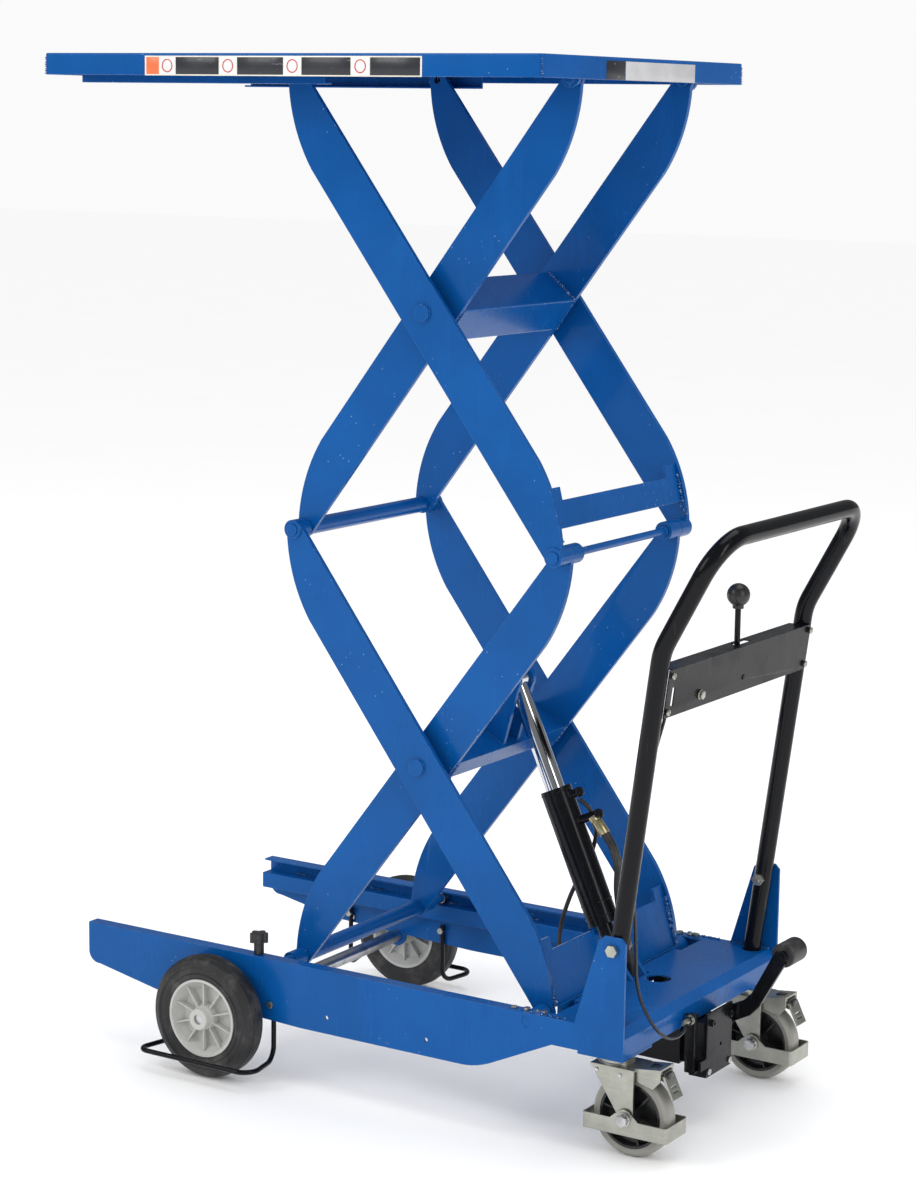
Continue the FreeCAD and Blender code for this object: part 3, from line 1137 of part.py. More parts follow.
def hoses():
    """Pressure hose and thin return hose, held by the barrel and led down past its foot."""
    middle = BARREL_START + BARREL_LENGTH / 2
    side = BARREL_RADIUS + HOSE_RADIUS
    pressure = [cylinder_point(middle + 43, side + 19), cylinder_point(middle + 20, side + 27),
                cylinder_point(middle - 10, side + 32), cylinder_point(middle - 38, side + 28),
                cylinder_point(middle - 66, side + 14), cylinder_point(middle - 94, side + 6),
                cylinder_point(middle - 126, side), cylinder_point(middle - 160, side - 5),
                cylinder_point(middle - 184, side - 11), cylinder_point(middle - 202, side - 17)]
    thin = BARREL_RADIUS + RETURN_HOSE_RADIUS
    back = [cylinder_point(middle + 84, thin + 4, 3), cylinder_point(middle + 68, thin + 11, 10),
            cylinder_point(middle + 46, thin + 9, 20), cylinder_point(middle + 22, thin - 4, 29),
            cylinder_point(middle - 2, thin - 26, 33), cylinder_point(middle - 26, thin - 56, 33),
            cylinder_point(middle - 54, thin - 90, 33), cylinder_point(middle - 86, thin - 120, 32),
            cylinder_point(middle - 118, thin - 140, 31), cylinder_point(middle - 142, thin - 147, 30)]
    return [cord("pressure_hose", pressure, HOSE_RADIUS), cord("return_hose", back, RETURN_HOSE_RADIUS)]


def cylinder():
    write("cylinder_barrel", cylinder_barrel())
    write("cylinder_rod", cylinder_rod())
    write("hydraulic_hoses", hoses())


def main():
    os.makedirs("parts", exist_ok=True)
    base_frame()
    write("star_knob", star_knob())
    lower_outer_stage()
    lower_inner_stage()
    upper_inner_stage()
    upper_outer_stage()
    rollers()
    platform()
    load_wheels()
    casters()
    handle()
    pump()
    cylinder()


main()
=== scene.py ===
import math

import bmesh
import bpy
from mathutils import Matrix, Vector


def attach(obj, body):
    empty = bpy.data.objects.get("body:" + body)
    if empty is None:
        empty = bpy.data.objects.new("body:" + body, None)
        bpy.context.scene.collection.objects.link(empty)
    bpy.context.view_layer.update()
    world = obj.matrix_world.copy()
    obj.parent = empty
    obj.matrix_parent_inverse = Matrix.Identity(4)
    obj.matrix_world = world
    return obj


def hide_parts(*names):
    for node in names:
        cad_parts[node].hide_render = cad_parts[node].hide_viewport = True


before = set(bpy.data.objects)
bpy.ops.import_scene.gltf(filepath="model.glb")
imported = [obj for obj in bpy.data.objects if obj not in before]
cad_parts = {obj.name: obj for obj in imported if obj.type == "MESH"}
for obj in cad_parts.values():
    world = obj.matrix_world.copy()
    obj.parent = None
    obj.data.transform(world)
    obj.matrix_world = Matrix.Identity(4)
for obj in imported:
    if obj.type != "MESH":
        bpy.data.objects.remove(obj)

bl_info = {
    "name": "Scissor lift table",
    "version": (1, 0, 0),
    "blender": (4, 5, 0),
    "location": "3D View > Sidebar > Lift table",
    "description": "Finishes a double scissor lift table with its paint, welds, labels and fittings",
    "category": "Object",
}

# Places are given in millimetres from the lower fixed pivots, with Z up from the floor.
PIVOT_TO_MIDDLE = 282.5
LOW_FIXED = (0.0, 186.5)
LOW_ROLLER = (-468.7, 186.5)
MID_FRONT = (-468.7, 878.8)
MID_REAR = (0.0, 878.8)
TOP_ROLLER = (-468.7, 1571.0)
TOP_FIXED = (0.0, 1571.0)
CROSSINGS = ((-234.3, 532.6), (-234.3, 1224.9))
OUTER_ARM_FACE = 201.0
OUTER_ARM_INSIDE = 193.0
INNER_ARM_INSIDE = 163.0
SKIRT_FACE = 307.0
SKIRT_REAR = 28.0
RAIL_FACE = 255.0
CYLINDER_FOOT = (2.6, 239.3)
CYLINDER_HEAD = (-181.7, 644.3)
CASTER_MIDDLE = 209.0
CABLE_BRACKET = (176.0, 171.0)
PANEL_FACING = (1, 0, -0.12)
SIDES = {"left": -1, "right": 1}

# Red, green and blue of the light that the blue enamel throws back in its gloss.
BLUE_GLOSS = (0.30, 0.60, 1.0, 1)

# Camera: its place in metres, and its turn, pitch and roll in degrees.
CAMERA_PLACE = (2.3287, -3.7007, 1.5119)
CAMERA_TURN = 32.034
CAMERA_PITCH = 9.839
CAMERA_ROLL = 0.848


# ---------------------------------------------------------------- sizes and colours


class LiftTableSizes(bpy.types.PropertyGroup):
    edge_radius: bpy.props.FloatProperty(
        name="Edge radius", description="Rounding of the plate edges under the paint",
        default=0.0009, min=0.0001, max=0.003, unit="LENGTH")
    weld_width: bpy.props.FloatProperty(
        name="Weld width", description="Width of the weld beads",
        default=0.0085, min=0.002, max=0.02, unit="LENGTH")
    weld_pitch: bpy.props.FloatProperty(
        name="Weld ripple", description="Distance from one ripple of a weld to the next",
        default=0.0034, min=0.001, max=0.01, unit="LENGTH")
    screw_size: bpy.props.FloatProperty(
        name="Screw head", description="Across the heads of the small screws",
        default=0.010, min=0.004, max=0.02, unit="LENGTH")
    floor_size: bpy.props.FloatProperty(
        name="Floor", description="Length of a side of the floor",
        default=60.0, min=5.0, max=200.0, unit="LENGTH")


class LiftTableColours(bpy.types.PropertyGroup):
    paint: bpy.props.FloatVectorProperty(
        name="Paint", description="Enamel on the frame, arms and platform",
        default=(0.0022, 0.076, 0.290), subtype="COLOR", min=0, max=1)
    black: bpy.props.FloatVectorProperty(
        name="Black paint", description="Paint on the handle, pump and cylinder",
        default=(0.0040, 0.0042, 0.0055), subtype="COLOR", min=0, max=1)
    tread: bpy.props.FloatVectorProperty(
        name="Caster tread", description="Grey rubber of the casters",
        default=(0.26, 0.255, 0.23), subtype="COLOR", min=0, max=1)
    hub: bpy.props.FloatVectorProperty(
        name="Wheel hub", description="Plastic of the load wheels' hubs",
        default=(0.47, 0.47, 0.45), subtype="COLOR", min=0, max=1)
    label: bpy.props.FloatVectorProperty(
        name="Label border", description="Border of the labels on the platform",
        default=(0.80, 0.76, 0.66), subtype="COLOR", min=0, max=1)
    floor: bpy.props.FloatVectorProperty(
        name="Floor", description="Floor and backdrop",
        default=(0.98, 0.98, 0.98), subtype="COLOR", min=0, max=1)


# ---------------------------------------------------------------- finishes


class Value:
    """A number, colour or vector that changes over a surface, for use in sums."""

    def __init__(self, coat, socket):
        self.coat = coat
        self.socket = socket

    def __add__(self, other):
        return self.coat.sum("ADD", self, other)

    def __radd__(self, other):
        return self.coat.sum("ADD", other, self)

    def __sub__(self, other):
        return self.coat.sum("SUBTRACT", self, other)

    def __rsub__(self, other):
        return self.coat.sum("SUBTRACT", other, self)

    def __mul__(self, other):
        return self.coat.sum("MULTIPLY", self, other)

    def __rmul__(self, other):
        return self.coat.sum("MULTIPLY", other, self)


class Coat:
    """A material's finish, built up from one shader."""

    def __init__(self, name, metallic=0.0, roughness=0.5, coat=0.0, coat_roughness=0.1, shine=0.5):
        self.material = bpy.data.materials.new(name)
        self.material.use_nodes = True
        self.tree = self.material.node_tree
        self.shader = self.tree.nodes["Principled BSDF"]
        self.shader.inputs["Metallic"].default_value = metallic
        self.shader.inputs["Roughness"].default_value = roughness
        self.shader.inputs["Coat Weight"].default_value = coat
        self.shader.inputs["Coat Roughness"].default_value = coat_roughness
        self.shader.inputs["Specular IOR Level"].default_value = shine
        self.place = self.node("ShaderNodeTexCoord", output="Object")

    def node(self, kind, settings=(), inputs=(), output=0):
        made = self.tree.nodes.new(kind)
        for name, setting in dict(settings).items():
            setattr(made, name, setting)
        for name, given in dict(inputs).items():
            self.join(given, made.inputs[name])
        return Value(self, made.outputs[output])

    def join(self, given, socket):
        if isinstance(given, Value):
            self.tree.links.new(given.socket, socket)
        else:
            socket.default_value = given

    def sum(self, operation, first, second):
        return self.node("ShaderNodeMath", {"operation": operation}, {0: first, 1: second})

    def grain(self, scale, detail=2.0, roughness=0.5, stretch=(1, 1, 1)):
        """Cloudy noise from 0 to 1; the scale is in lumps per metre."""
        place = self.node("ShaderNodeMapping", inputs={"Vector": self.place, "Scale": stretch})
        return self.node("ShaderNodeTexNoise", {"noise_dimensions": "3D"},
                         {"Vector": place, "Scale": scale, "Detail": detail, "Roughness": roughness})

    def specks(self, scale, size):
        """Small round marks, 1 inside a mark and 0 outside."""
        distance = self.node("ShaderNodeTexVoronoi", {"feature": "F1"},
                             {"Vector": self.place, "Scale": scale}, "Distance")
        return self.between(distance, size, size * 0.6)

    def between(self, value, start, end):
        """0 at the start and 1 at the end, with a smooth run between them."""
        return self.node("ShaderNodeMapRange", {"interpolation_type": "SMOOTHSTEP"},
                         {"Value": value, "From Min": start, "From Max": end})

    def edges(self, radius):
        """1 along the edges of a shape and 0 on its flat faces."""
        rounded = self.node("ShaderNodeBevel", {"samples": 4}, {"Radius": radius})
        straight = self.node("ShaderNodeNewGeometry", output="Normal")
        likeness = self.node("ShaderNodeVectorMath", {"operation": "DOT_PRODUCT"},
                             {0: rounded, 1: straight}, "Value")
        return self.between(likeness, 0.97, 0.80)

    def mixed(self, amount, first, second):
        """A colour between two others."""
        inputs = {0: amount, 6: self.opaque(first), 7: self.opaque(second)}
        return self.node("ShaderNodeMix", {"data_type": "RGBA"}, inputs, 2)

    def opaque(self, colour):
        if isinstance(colour, Value):
            return colour
        return (*colour[:3], 1.0)

    def varies(self, name, value):
        self.join(value, self.shader.inputs[name])

    def relief(self, height, depth):
        """Raises and lowers the surface by a small depth."""
        rounded = self.node("ShaderNodeBevel", {"samples": 4}, {"Radius": 0.0012})
        bump = self.node("ShaderNodeBump", inputs={"Height": height, "Distance": depth,
                                                   "Strength": 1.0, "Normal": rounded})
        self.varies("Normal", bump)


def times(colour, factor):
    return tuple(min(1.0, part * factor) for part in colour[:3])


def enamel(name, colour, roughness=0.24, peel=0.00012):
    """Glossy paint with orange peel, cloudy tone, dust nibs and lighter edges, a painted edge highlight
    partly from wear.
    """
    coat = Coat(name, roughness=roughness, coat=0.12, coat_roughness=0.06, shine=0.3)
    coat.shader.inputs["Specular Tint"].default_value = BLUE_GLOSS
    cloud = coat.grain(5.0, 4.0, 0.6)
    streaks = coat.grain(26.0, 3.0, 0.6, (1, 1, 0.25))
    tone = coat.mixed(coat.between(cloud, 0.3, 0.7), times(colour, 0.90), times(colour, 1.12))
    tone = coat.mixed(coat.between(streaks, 0.55, 0.8) * 0.25, tone, times(colour, 1.5))
    nibs = coat.specks(95.0, 0.10) * coat.between(coat.grain(9.0), 0.56, 0.62)
    tone = coat.mixed(nibs * 0.55, tone, (0.45, 0.60, 0.80))
    # Patchy lighter blue along the edges: a painted edge highlight, partly wear.
    wear_and_edge_highlight = coat.edges(0.0012) * coat.between(coat.grain(60.0), 0.35, 0.6)
    tone = coat.mixed(wear_and_edge_highlight * 0.55, tone, (0.20, 0.38, 0.68))
    coat.varies("Base Color", tone)
    coat.varies("Roughness", roughness - 0.05 + 0.14 * streaks)
    coat.relief(coat.grain(260.0, 1.0) + 0.25 * coat.grain(900.0, 1.0), peel)
    return coat.material


def weld_metal(name, colour):
    """Painted weld: ripples and bright specks, partly spatter where the paint is thin and partly painted
    glints on the rough metal.
    """
    coat = Coat(name, roughness=0.3, coat=0.4)
    # Whitish specks on the bead: painted glints of the rough weld, partly spatter.
    spatter_and_glints = coat.between(coat.grain(330.0, 2.0), 0.58, 0.68)
    burnt = coat.between(coat.grain(120.0, 2.0), 0.4, 0.7)
    tone = coat.mixed(burnt, times(colour, 0.75), times(colour, 1.3))
    coat.varies("Base Color", coat.mixed(spatter_and_glints * 0.75, tone, (0.50, 0.62, 0.80)))
    coat.varies("Roughness", 0.22 + 0.3 * burnt)
    coat.relief(coat.grain(700.0, 2.0), 0.0003)
    return coat.material


def satin_black(name, colour, roughness=0.20, lumps=520.0, depth=0.00008):
    """Black paint with a fine skin, dusty patches and greyer edges, a painted edge highlight partly from
    wear.
    """
    coat = Coat(name, roughness=roughness, coat=0.05, coat_roughness=0.06, shine=0.16)
    dust = coat.between(coat.grain(14.0, 4.0, 0.65), 0.45, 0.75)
    scuffs = coat.between(coat.grain(70.0, 3.0, 0.6, (1, 1, 0.12)), 0.62, 0.72)
    tone = coat.mixed(dust * 0.4, colour, times(colour, 2.0))
    tone = coat.mixed(scuffs * 0.2, tone, (0.08, 0.08, 0.085))
    # Patchy grey along the edges: a painted edge highlight, partly wear.
    wear_and_edge_highlight = coat.edges(0.0010) * coat.between(coat.grain(80.0), 0.4, 0.6)
    coat.varies("Base Color", coat.mixed(wear_and_edge_highlight * 0.6, tone, (0.13, 0.13, 0.14)))
    coat.varies("Roughness", roughness - 0.06 + 0.18 * dust)
    coat.relief(coat.grain(lumps, 2.0), depth)
    return coat.material


def zinc_plate(name, tint=(0.41, 0.41, 0.36), roughness=0.30):
    """Passivated zinc: yellowish clouds, rolled streaks, small stains and paler edges painted as an edge
    highlight.
    """
    coat = Coat(name, metallic=0.92, roughness=roughness)
    cloud = coat.between(coat.grain(30.0, 4.0, 0.6), 0.35, 0.7)
    rolled = coat.grain(40.0, 3.0, 0.7, (0.3, 1, 6))
    tone = coat.mixed(cloud, times(tint, 0.92), times(tint, 1.15))
    tone = coat.mixed(coat.between(rolled, 0.5, 0.8) * 0.35, tone, (0.64, 0.62, 0.50))
    stains = coat.between(coat.grain(110.0, 3.0, 0.6), 0.66, 0.74)
    tone = coat.mixed(stains * 0.4, tone, (0.30, 0.28, 0.23))
    # Paler metal along every edge: a painted edge highlight.
    wear_and_edge_highlight = coat.edges(0.0008)
    coat.varies("Base Color", coat.mixed(wear_and_edge_highlight * 0.5, tone, (0.75, 0.75, 0.74)))
    coat.varies("Roughness", roughness - 0.08 + 0.22 * rolled)
    coat.relief(coat.grain(400.0, 2.0), 0.00003)
    return coat.material


def bright_steel(name, tint=(0.60, 0.60, 0.61), roughness=0.28, turned=(1, 30, 1)):
    """Machined steel with fine turning lines and faint oil stains."""
    coat = Coat(name, metallic=1.0, roughness=roughness)
    lines = coat.grain(120.0, 2.0, 0.6, turned)
    oil = coat.between(coat.grain(45.0, 3.0), 0.5, 0.7)
    coat.varies("Base Color", coat.mixed(oil * 0.6, tint, times(tint, 0.55)))
    coat.varies("Roughness", roughness - 0.08 + 0.2 * lines)
    coat.relief(lines, 0.00002)
    return coat.material


def chrome(name):
    """Polished rod: near mirror, with faint long wipe marks."""
    coat = Coat(name, metallic=1.0, roughness=0.07)
    wipes = coat.grain(50.0, 3.0, 0.6, (1, 6, 0.3))
    film = coat.between(coat.grain(18.0, 3.0), 0.5, 0.75)
    coat.varies("Base Color", coat.mixed(film * 0.5, (0.70, 0.71, 0.73), (0.50, 0.52, 0.56)))
    coat.varies("Roughness", 0.04 + 0.10 * wipes)
    coat.relief(wipes, 0.000008)
    return coat.material


def moulded(name, colour, roughness=0.45, dirt=(0.20, 0.18, 0.15), dirty=0.35):
    """Moulded plastic: fine spark texture, handling dirt and paler edges, a painted edge highlight
    partly from rubbing.
    """
    coat = Coat(name, roughness=roughness)
    grime = coat.between(coat.grain(35.0, 4.0, 0.65), 0.52, 0.72)
    tone = coat.mixed(coat.grain(12.0), times(colour, 0.88), times(colour, 1.12))
    tone = coat.mixed(grime * dirty, tone, dirt)
    # Patchy paler plastic along the edges: a painted edge highlight, partly rubbing.
    rubbed_and_edge_highlight = coat.edges(0.0008) * coat.between(coat.grain(90.0), 0.4, 0.6)
    tone = coat.mixed(rubbed_and_edge_highlight * 0.3, tone, times(colour, 1.8))
    coat.varies("Base Color", tone)
    coat.varies("Roughness", roughness - 0.07 + 0.2 * grime)
    coat.relief(coat.grain(1100.0, 2.0), 0.00004)
    return coat.material


def rubber(name, colour, roughness=0.62, dust=(0.16, 0.15, 0.14)):
    """Rolled rubber: dusty, with small nicks and a matt tread."""
    coat = Coat(name, roughness=roughness)
    dusty = coat.between(coat.grain(22.0, 5.0, 0.7), 0.46, 0.74)
    nicks = coat.specks(160.0, 0.12) * coat.between(coat.grain(30.0), 0.5, 0.6)
    tone = coat.mixed(dusty * 0.45, colour, dust)
    tone = coat.mixed(nicks * 0.6, tone, times(colour, 0.4))
    coat.varies("Base Color", tone)
    coat.varies("Roughness", roughness - 0.1 + 0.2 * dusty)
    coat.relief(coat.grain(480.0, 3.0) - 0.4 * nicks, 0.00012)
    return coat.material


def printed_film(name, colour, roughness=0.32):
    """Printed label film: slight wrinkles, fading and scuffs."""
    coat = Coat(name, roughness=roughness, coat=0.2)
    fade = coat.between(coat.grain(18.0, 3.0), 0.35, 0.7)
    scuffs = coat.between(coat.grain(160.0, 2.0, 0.5, (0.2, 1, 1)), 0.66, 0.74)
    tone = coat.mixed(fade, times(colour, 0.92), times(colour, 1.06))
    coat.varies("Base Color", coat.mixed(scuffs * 0.3, tone, (0.55, 0.55, 0.55)))
    coat.varies("Roughness", roughness - 0.04 + 0.12 * fade)
    coat.relief(coat.grain(60.0, 2.0), 0.00025)
    return coat.material


def floor_finish(name, colour):
    """Pale matt floor with a barely visible mottle."""
    coat = Coat(name, roughness=0.9, shine=0.0)
    mottle = coat.grain(3.0, 4.0)
    coat.varies("Base Color", coat.mixed(mottle, times(colour, 0.985), times(colour, 1.01)))
    return coat.material


def finish(name):
    """The material of that name, made when it is first asked for."""
    made = bpy.data.materials.get(name)
    if made:
        return made
    colours = bpy.context.scene.lift_table_colours
    recipes = {
        "enamel_blue": lambda: enamel(name, colours.paint),
        "weld_blue": lambda: weld_metal(name, colours.paint),
        "enamel_black": lambda: satin_black(name, colours.black),
        "barrel_black": lambda: satin_black(name, times(colours.black, 1.3), 0.24, 300.0, 0.00004),
        "sheet_black": lambda: satin_black(name, times(colours.black, 1.4), 0.32, 420.0, 0.0001),
        "zinc_plating": lambda: zinc_plate(name),
        "zinc_plating_yellow": lambda: zinc_plate(name, (0.50, 0.43, 0.24), 0.28),
        "steel_turned": lambda: bright_steel(name),
        "chrome_plating": lambda: chrome(name),
        "plastic_black": lambda: moulded(name, (0.014, 0.014, 0.015), 0.38, (0.06, 0.055, 0.05)),
        "nylon_black": lambda: moulded(name, (0.012, 0.012, 0.013), 0.30, (0.05, 0.05, 0.05)),
        "plastic_hub": lambda: moulded(name, colours.hub, 0.5, (0.24, 0.23, 0.21), 0.3),
        "rubber_tyre": lambda: rubber(name, (0.013, 0.013, 0.014)),
        "rubber_hose": lambda: rubber(name, (0.012, 0.012, 0.013), 0.5),
        "cable_sheath": lambda: rubber(name, (0.010, 0.010, 0.011), 0.36, (0.05, 0.05, 0.05)),
        "rubber_tread": lambda: rubber(name, colours.tread, 0.42, (0.20, 0.19, 0.17)),
        "label_border": lambda: printed_film(name, colours.label),
        "label_orange": lambda: printed_film(name, (0.80, 0.16, 0.045)),
        "label_white": lambda: printed_film(name, (0.78, 0.79, 0.78)),
        "label_dark": lambda: printed_film(name, (0.018, 0.019, 0.026)),
        "label_red": lambda: printed_film(name, (0.62, 0.06, 0.05)),
        "label_grey": lambda: printed_film(name, (0.50, 0.50, 0.51)),
        "pale_floor": lambda: floor_finish(name, colours.floor),
    }
    return recipes[name]()


# ---------------------------------------------------------------- shaping


def at(x, y, z):
    """A place given in millimetres from the lower fixed pivots."""
    return Vector((x + PIVOT_TO_MIDDLE, y, z)) / 1000


def beside_arm(lower, upper, along, above, y):
    """A place beside an arm, along it from its lower pivot and above its pivot line."""
    run = Vector((upper[0] - lower[0], upper[1] - lower[1])).normalized()
    over = Vector((run.y, -run.x)) if run.x < 0 else Vector((-run.y, run.x))
    spot = Vector(lower) + run * along + over * above
    return at(spot.x, y, spot.y)


def beside_cylinder(along, across, y=0.0):
    """A place beside the cylinder, along it from its foot and across it towards the handle."""
    run = (Vector(CYLINDER_HEAD) - Vector(CYLINDER_FOOT)).normalized()
    spot = Vector(CYLINDER_FOOT) + run * along + Vector((run.y, -run.x)) * across
    return at(spot.x, y, spot.y)


def turned_towards(axis, centre):
    """A transform that takes Z to an axis and the origin to a centre."""
    turn = Vector(axis).to_track_quat("Z", "Y").to_matrix().to_4x4()
    return Matrix.Translation(centre) @ turn


def new_edges(shape, verts):
    kept = set(verts)
    return [edge for edge in shape.edges if edge.verts[0] in kept and edge.verts[1] in kept]


def round_off(shape, verts, radius, steps=2):
    edges = [edge for edge in new_edges(shape, verts) if edge.calc_face_angle(0) > math.radians(35)]
    bmesh.ops.bevel(shape, geom=edges, offset=radius, offset_type="OFFSET", segments=steps,
                    affect="EDGES", profile=0.5, material=-1, clamp_overlap=True)


def add_block(shape, low, high, rounding=0.0003):
    size = high - low
    place = Matrix.Translation((low + high) / 2) @ Matrix.Diagonal((*map(abs, size), 1))
    made = bmesh.ops.create_cube(shape, size=1, matrix=place)["verts"]
    if rounding:
        round_off(shape, made, rounding)


def add_drum(shape, centre, axis, radius, length, sides=32, rounding=0.0004):
    """A drum that starts at the centre and runs along the axis."""
    middle = centre + Vector(axis).normalized() * length / 2
    made = bmesh.ops.create_cone(shape, cap_ends=True, cap_tris=False, segments=sides,
                                 radius1=radius, radius2=radius, depth=length,
                                 matrix=turned_towards(axis, middle))["verts"]
    if rounding:
        round_off(shape, made, rounding)


def add_ring(shape, centre, axis, radius, wire, steps=40, wire_sides=10):
    """A round wire bent to a ring."""
    turn = turned_towards(axis, centre)
    tilt = turn @ Matrix.Translation((radius, 0, 0)) @ Matrix.Rotation(math.pi / 2, 4, "X")
    made = bmesh.ops.create_circle(shape, segments=wire_sides, radius=wire, matrix=tilt)["verts"]
    bmesh.ops.spin(shape, geom=made + new_edges(shape, made), cent=centre, axis=Vector(axis),
                   angle=2 * math.pi, steps=steps, use_merge=True)


def add_hexagon(shape, centre, axis, across, height):
    """A bolt head with its washer."""
    axis = Vector(axis).normalized()
    add_drum(shape, centre, axis, across * 0.64, height * 0.22, 28, 0.0002)
    add_drum(shape, centre + axis * height * 0.2, axis, across * 0.577, height * 0.8, 6, 0.0003)


def add_socket_screw(shape, centre, axis, across):
    """A round screw head with a raised collar round its sunken drive."""
    axis = Vector(axis).normalized()
    add_drum(shape, centre, axis, across / 2, across * 0.32, 24, across * 0.07)
    add_ring(shape, centre + axis * across * 0.33, axis, across * 0.24, across * 0.06, 18, 6)


def add_bead(shape, start, end, width, pitch):
    """A weld: overlapping flattened drops in a row, a little uneven."""
    run = end - start
    count = max(2, int(run.length / pitch))
    way = run.to_track_quat("X", "Z").to_matrix().to_4x4()
    for step in range(count + 1):
        sway = math.sin(step * 2.4) * 0.08
        size = width / 2 * (1 + 0.12 * math.sin(step * 1.7 + 0.6))
        spot = start + run * (step / count) + Vector((0, 0, sway * width))
        flat = Matrix.Diagonal((0.62 * size, size, size, 1))
        bmesh.ops.create_uvsphere(shape, u_segments=8, v_segments=6, radius=1,
                                  matrix=Matrix.Translation(spot) @ way @ flat)


def whole_piece(shape, name, material, body, sharp=30):
    """Makes a finished piece of a shape and lets it ride on a body."""
    bmesh.ops.remove_doubles(shape, verts=shape.verts, dist=1e-7)
    bmesh.ops.recalc_face_normals(shape, faces=shape.faces)
    mesh = bpy.data.meshes.new(name)
    shape.to_mesh(mesh)
    shape.free()
    return shown_piece(mesh, name, material, body, sharp)


def shown_piece(mesh, name, material, body, sharp):
    """Gives a mesh its finish and shading and puts it in the scene on its body."""
    mesh.materials.clear()
    mesh.materials.append(finish(material))
    for face in mesh.polygons:
        face.use_smooth = True
    mesh.set_sharp_from_angle(angle=math.radians(sharp))
    piece = bpy.data.objects.new(name, mesh)
    bpy.context.scene.collection.objects.link(piece)
    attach(piece, body)
    return piece


def soften(node, material, body, radius=None):
    """Replaces a node by a copy of it whose sharp edges are rounded."""
    sizes = bpy.context.scene.lift_table_sizes
    shape = bmesh.new()
    shape.from_mesh(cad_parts[node].data)
    bmesh.ops.remove_doubles(shape, verts=shape.verts, dist=2e-6)
    bmesh.ops.dissolve_limit(shape, angle_limit=math.radians(1.0), verts=shape.verts,
                             edges=shape.edges, use_dissolve_boundaries=False)
    sharp = [edge for edge in shape.edges
             if edge.is_manifold and edge.calc_face_angle(0) > math.radians(38)]
    bmesh.ops.bevel(shape, geom=sharp, offset=radius or sizes.edge_radius, offset_type="OFFSET",
                    segments=2, affect="EDGES", profile=0.5, material=-1, clamp_overlap=True)
    bmesh.ops.triangulate(shape, faces=[face for face in shape.faces if len(face.verts) > 4])
    mesh = bpy.data.meshes.new(node + "_finished")
    shape.to_mesh(mesh)
    shape.free()
    piece = shown_piece(mesh, node + "_finished", material, body, 15)
    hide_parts(node)
    return piece


def coat_node(node, material):
    """Gives a node its finish."""
    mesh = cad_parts[node].data
    mesh.materials.clear()
    mesh.materials.append(finish(material))


def coat_nodes(nodes, material):
    for node in nodes:
        coat_node(node, material)


# ---------------------------------------------------------------- platform


def platform_labels():
    """Strips of plain coloured blocks on the platform's left and rear skirts."""
    face = -SKIRT_FACE

    def strip(name, material, spans, low, high, lift):
        shape = bmesh.new()
        for start, end in spans:
            add_block(shape, at(start, face - lift, low), at(end, face + 0.6, high), 0.0001)
        whole_piece(shape, name, material, "platform")

    strip("label_backing", "label_border", [(-672, -171)], 1567.6, 1597, 0.25)
    strip("label_orange_block", "label_orange", [(-669, -645)], 1569.5, 1595, 0.4)
    squares = [(-644, -614), (-531, -499), (-413, -382), (-293, -261)]
    strip("label_white_squares", "label_white", squares, 1569.5, 1595, 0.4)
    panels = [(-613, -532), (-498, -414), (-381, -294), (-260, -174)]
    strip("label_dark_panels", "label_dark", panels, 1569.5, 1595, 0.4)
    rings = bmesh.new()
    for start, end in squares:
        centre = at((start + end) / 2, face - 0.45, 1582.3)
        add_ring(rings, centre, (0, 1, 0), 0.0092, 0.0009, 36, 6)
    whole_piece(rings, "label_rings", "label_red", "platform")
    for name, material, near, far in (("rear_label_dark", "label_dark", -127, -72),
                                      ("rear_label_plate", "label_grey", -70, 146)):
        shape = bmesh.new()
        add_block(shape, at(SKIRT_REAR - 0.6, near, 1568.5), at(SKIRT_REAR + 0.4, far, 1595.5), 0.0001)
        whole_piece(shape, name, material, "platform")


def platform_welds():
    """Corner seams of the tray and the tacks that hold the tracks and hinge lugs under it."""
    sizes = bpy.context.scene.lift_table_sizes
    shape = bmesh.new()
    small = sizes.weld_width * 0.45
    for x in (SKIRT_REAR - 1.6, -868.4):
        for side in (-1, 1):
            y = side * (SKIRT_FACE - 1.6)
            add_bead(shape, at(x, y, 1570), at(x, y, 1594), small, sizes.weld_pitch)
    for side in (-1, 1):
        for x in (-560, -440, -320, -200):
            y = side * 205
            add_bead(shape, at(x, y, 1597), at(x + 36, y, 1597), small, sizes.weld_pitch)
        for y in (172, 214):
            add_bead(shape, at(-20, side * y, 1597), at(16, side * y, 1597), small, sizes.weld_pitch)
    whole_piece(shape, "platform_welds", "weld_blue", "platform")


class LIFT_TABLE_OT_platform(bpy.types.Operator):
    """Finishes the platform: tray, tracks, hinge lugs, labels and corner welds"""

    bl_idname = "lift_table.platform"
    bl_label = "Finish platform"

    def execute(self, context):
        for node in ("platform_top", "platform_tracks", "platform_hinges"):
            soften(node, "enamel_blue", "platform")
        platform_labels()
        platform_welds()
        return {"FINISHED"}


# ---------------------------------------------------------------- scissor arms


def pin_caps():
    """Welded pin ends with a dimple where the arms cross."""
    for body, crossing in zip(("lower_outer", "upper_outer"), CROSSINGS):
        shape = bmesh.new()
        for side in (-1, 1):
            centre = at(crossing[0], side * OUTER_ARM_FACE, crossing[1])
            axis = Vector((0, side, 0))
            add_ring(shape, centre, axis, 0.0112, 0.0021, 44, 10)
            add_drum(shape, centre - axis * 0.001, axis, 0.0100, 0.0019, 36, 0.0005)
            add_ring(shape, centre + axis * 0.0009, axis, 0.0052, 0.0008, 28, 8)
        whole_piece(shape, body + "_pin_welds", "weld_blue", body)


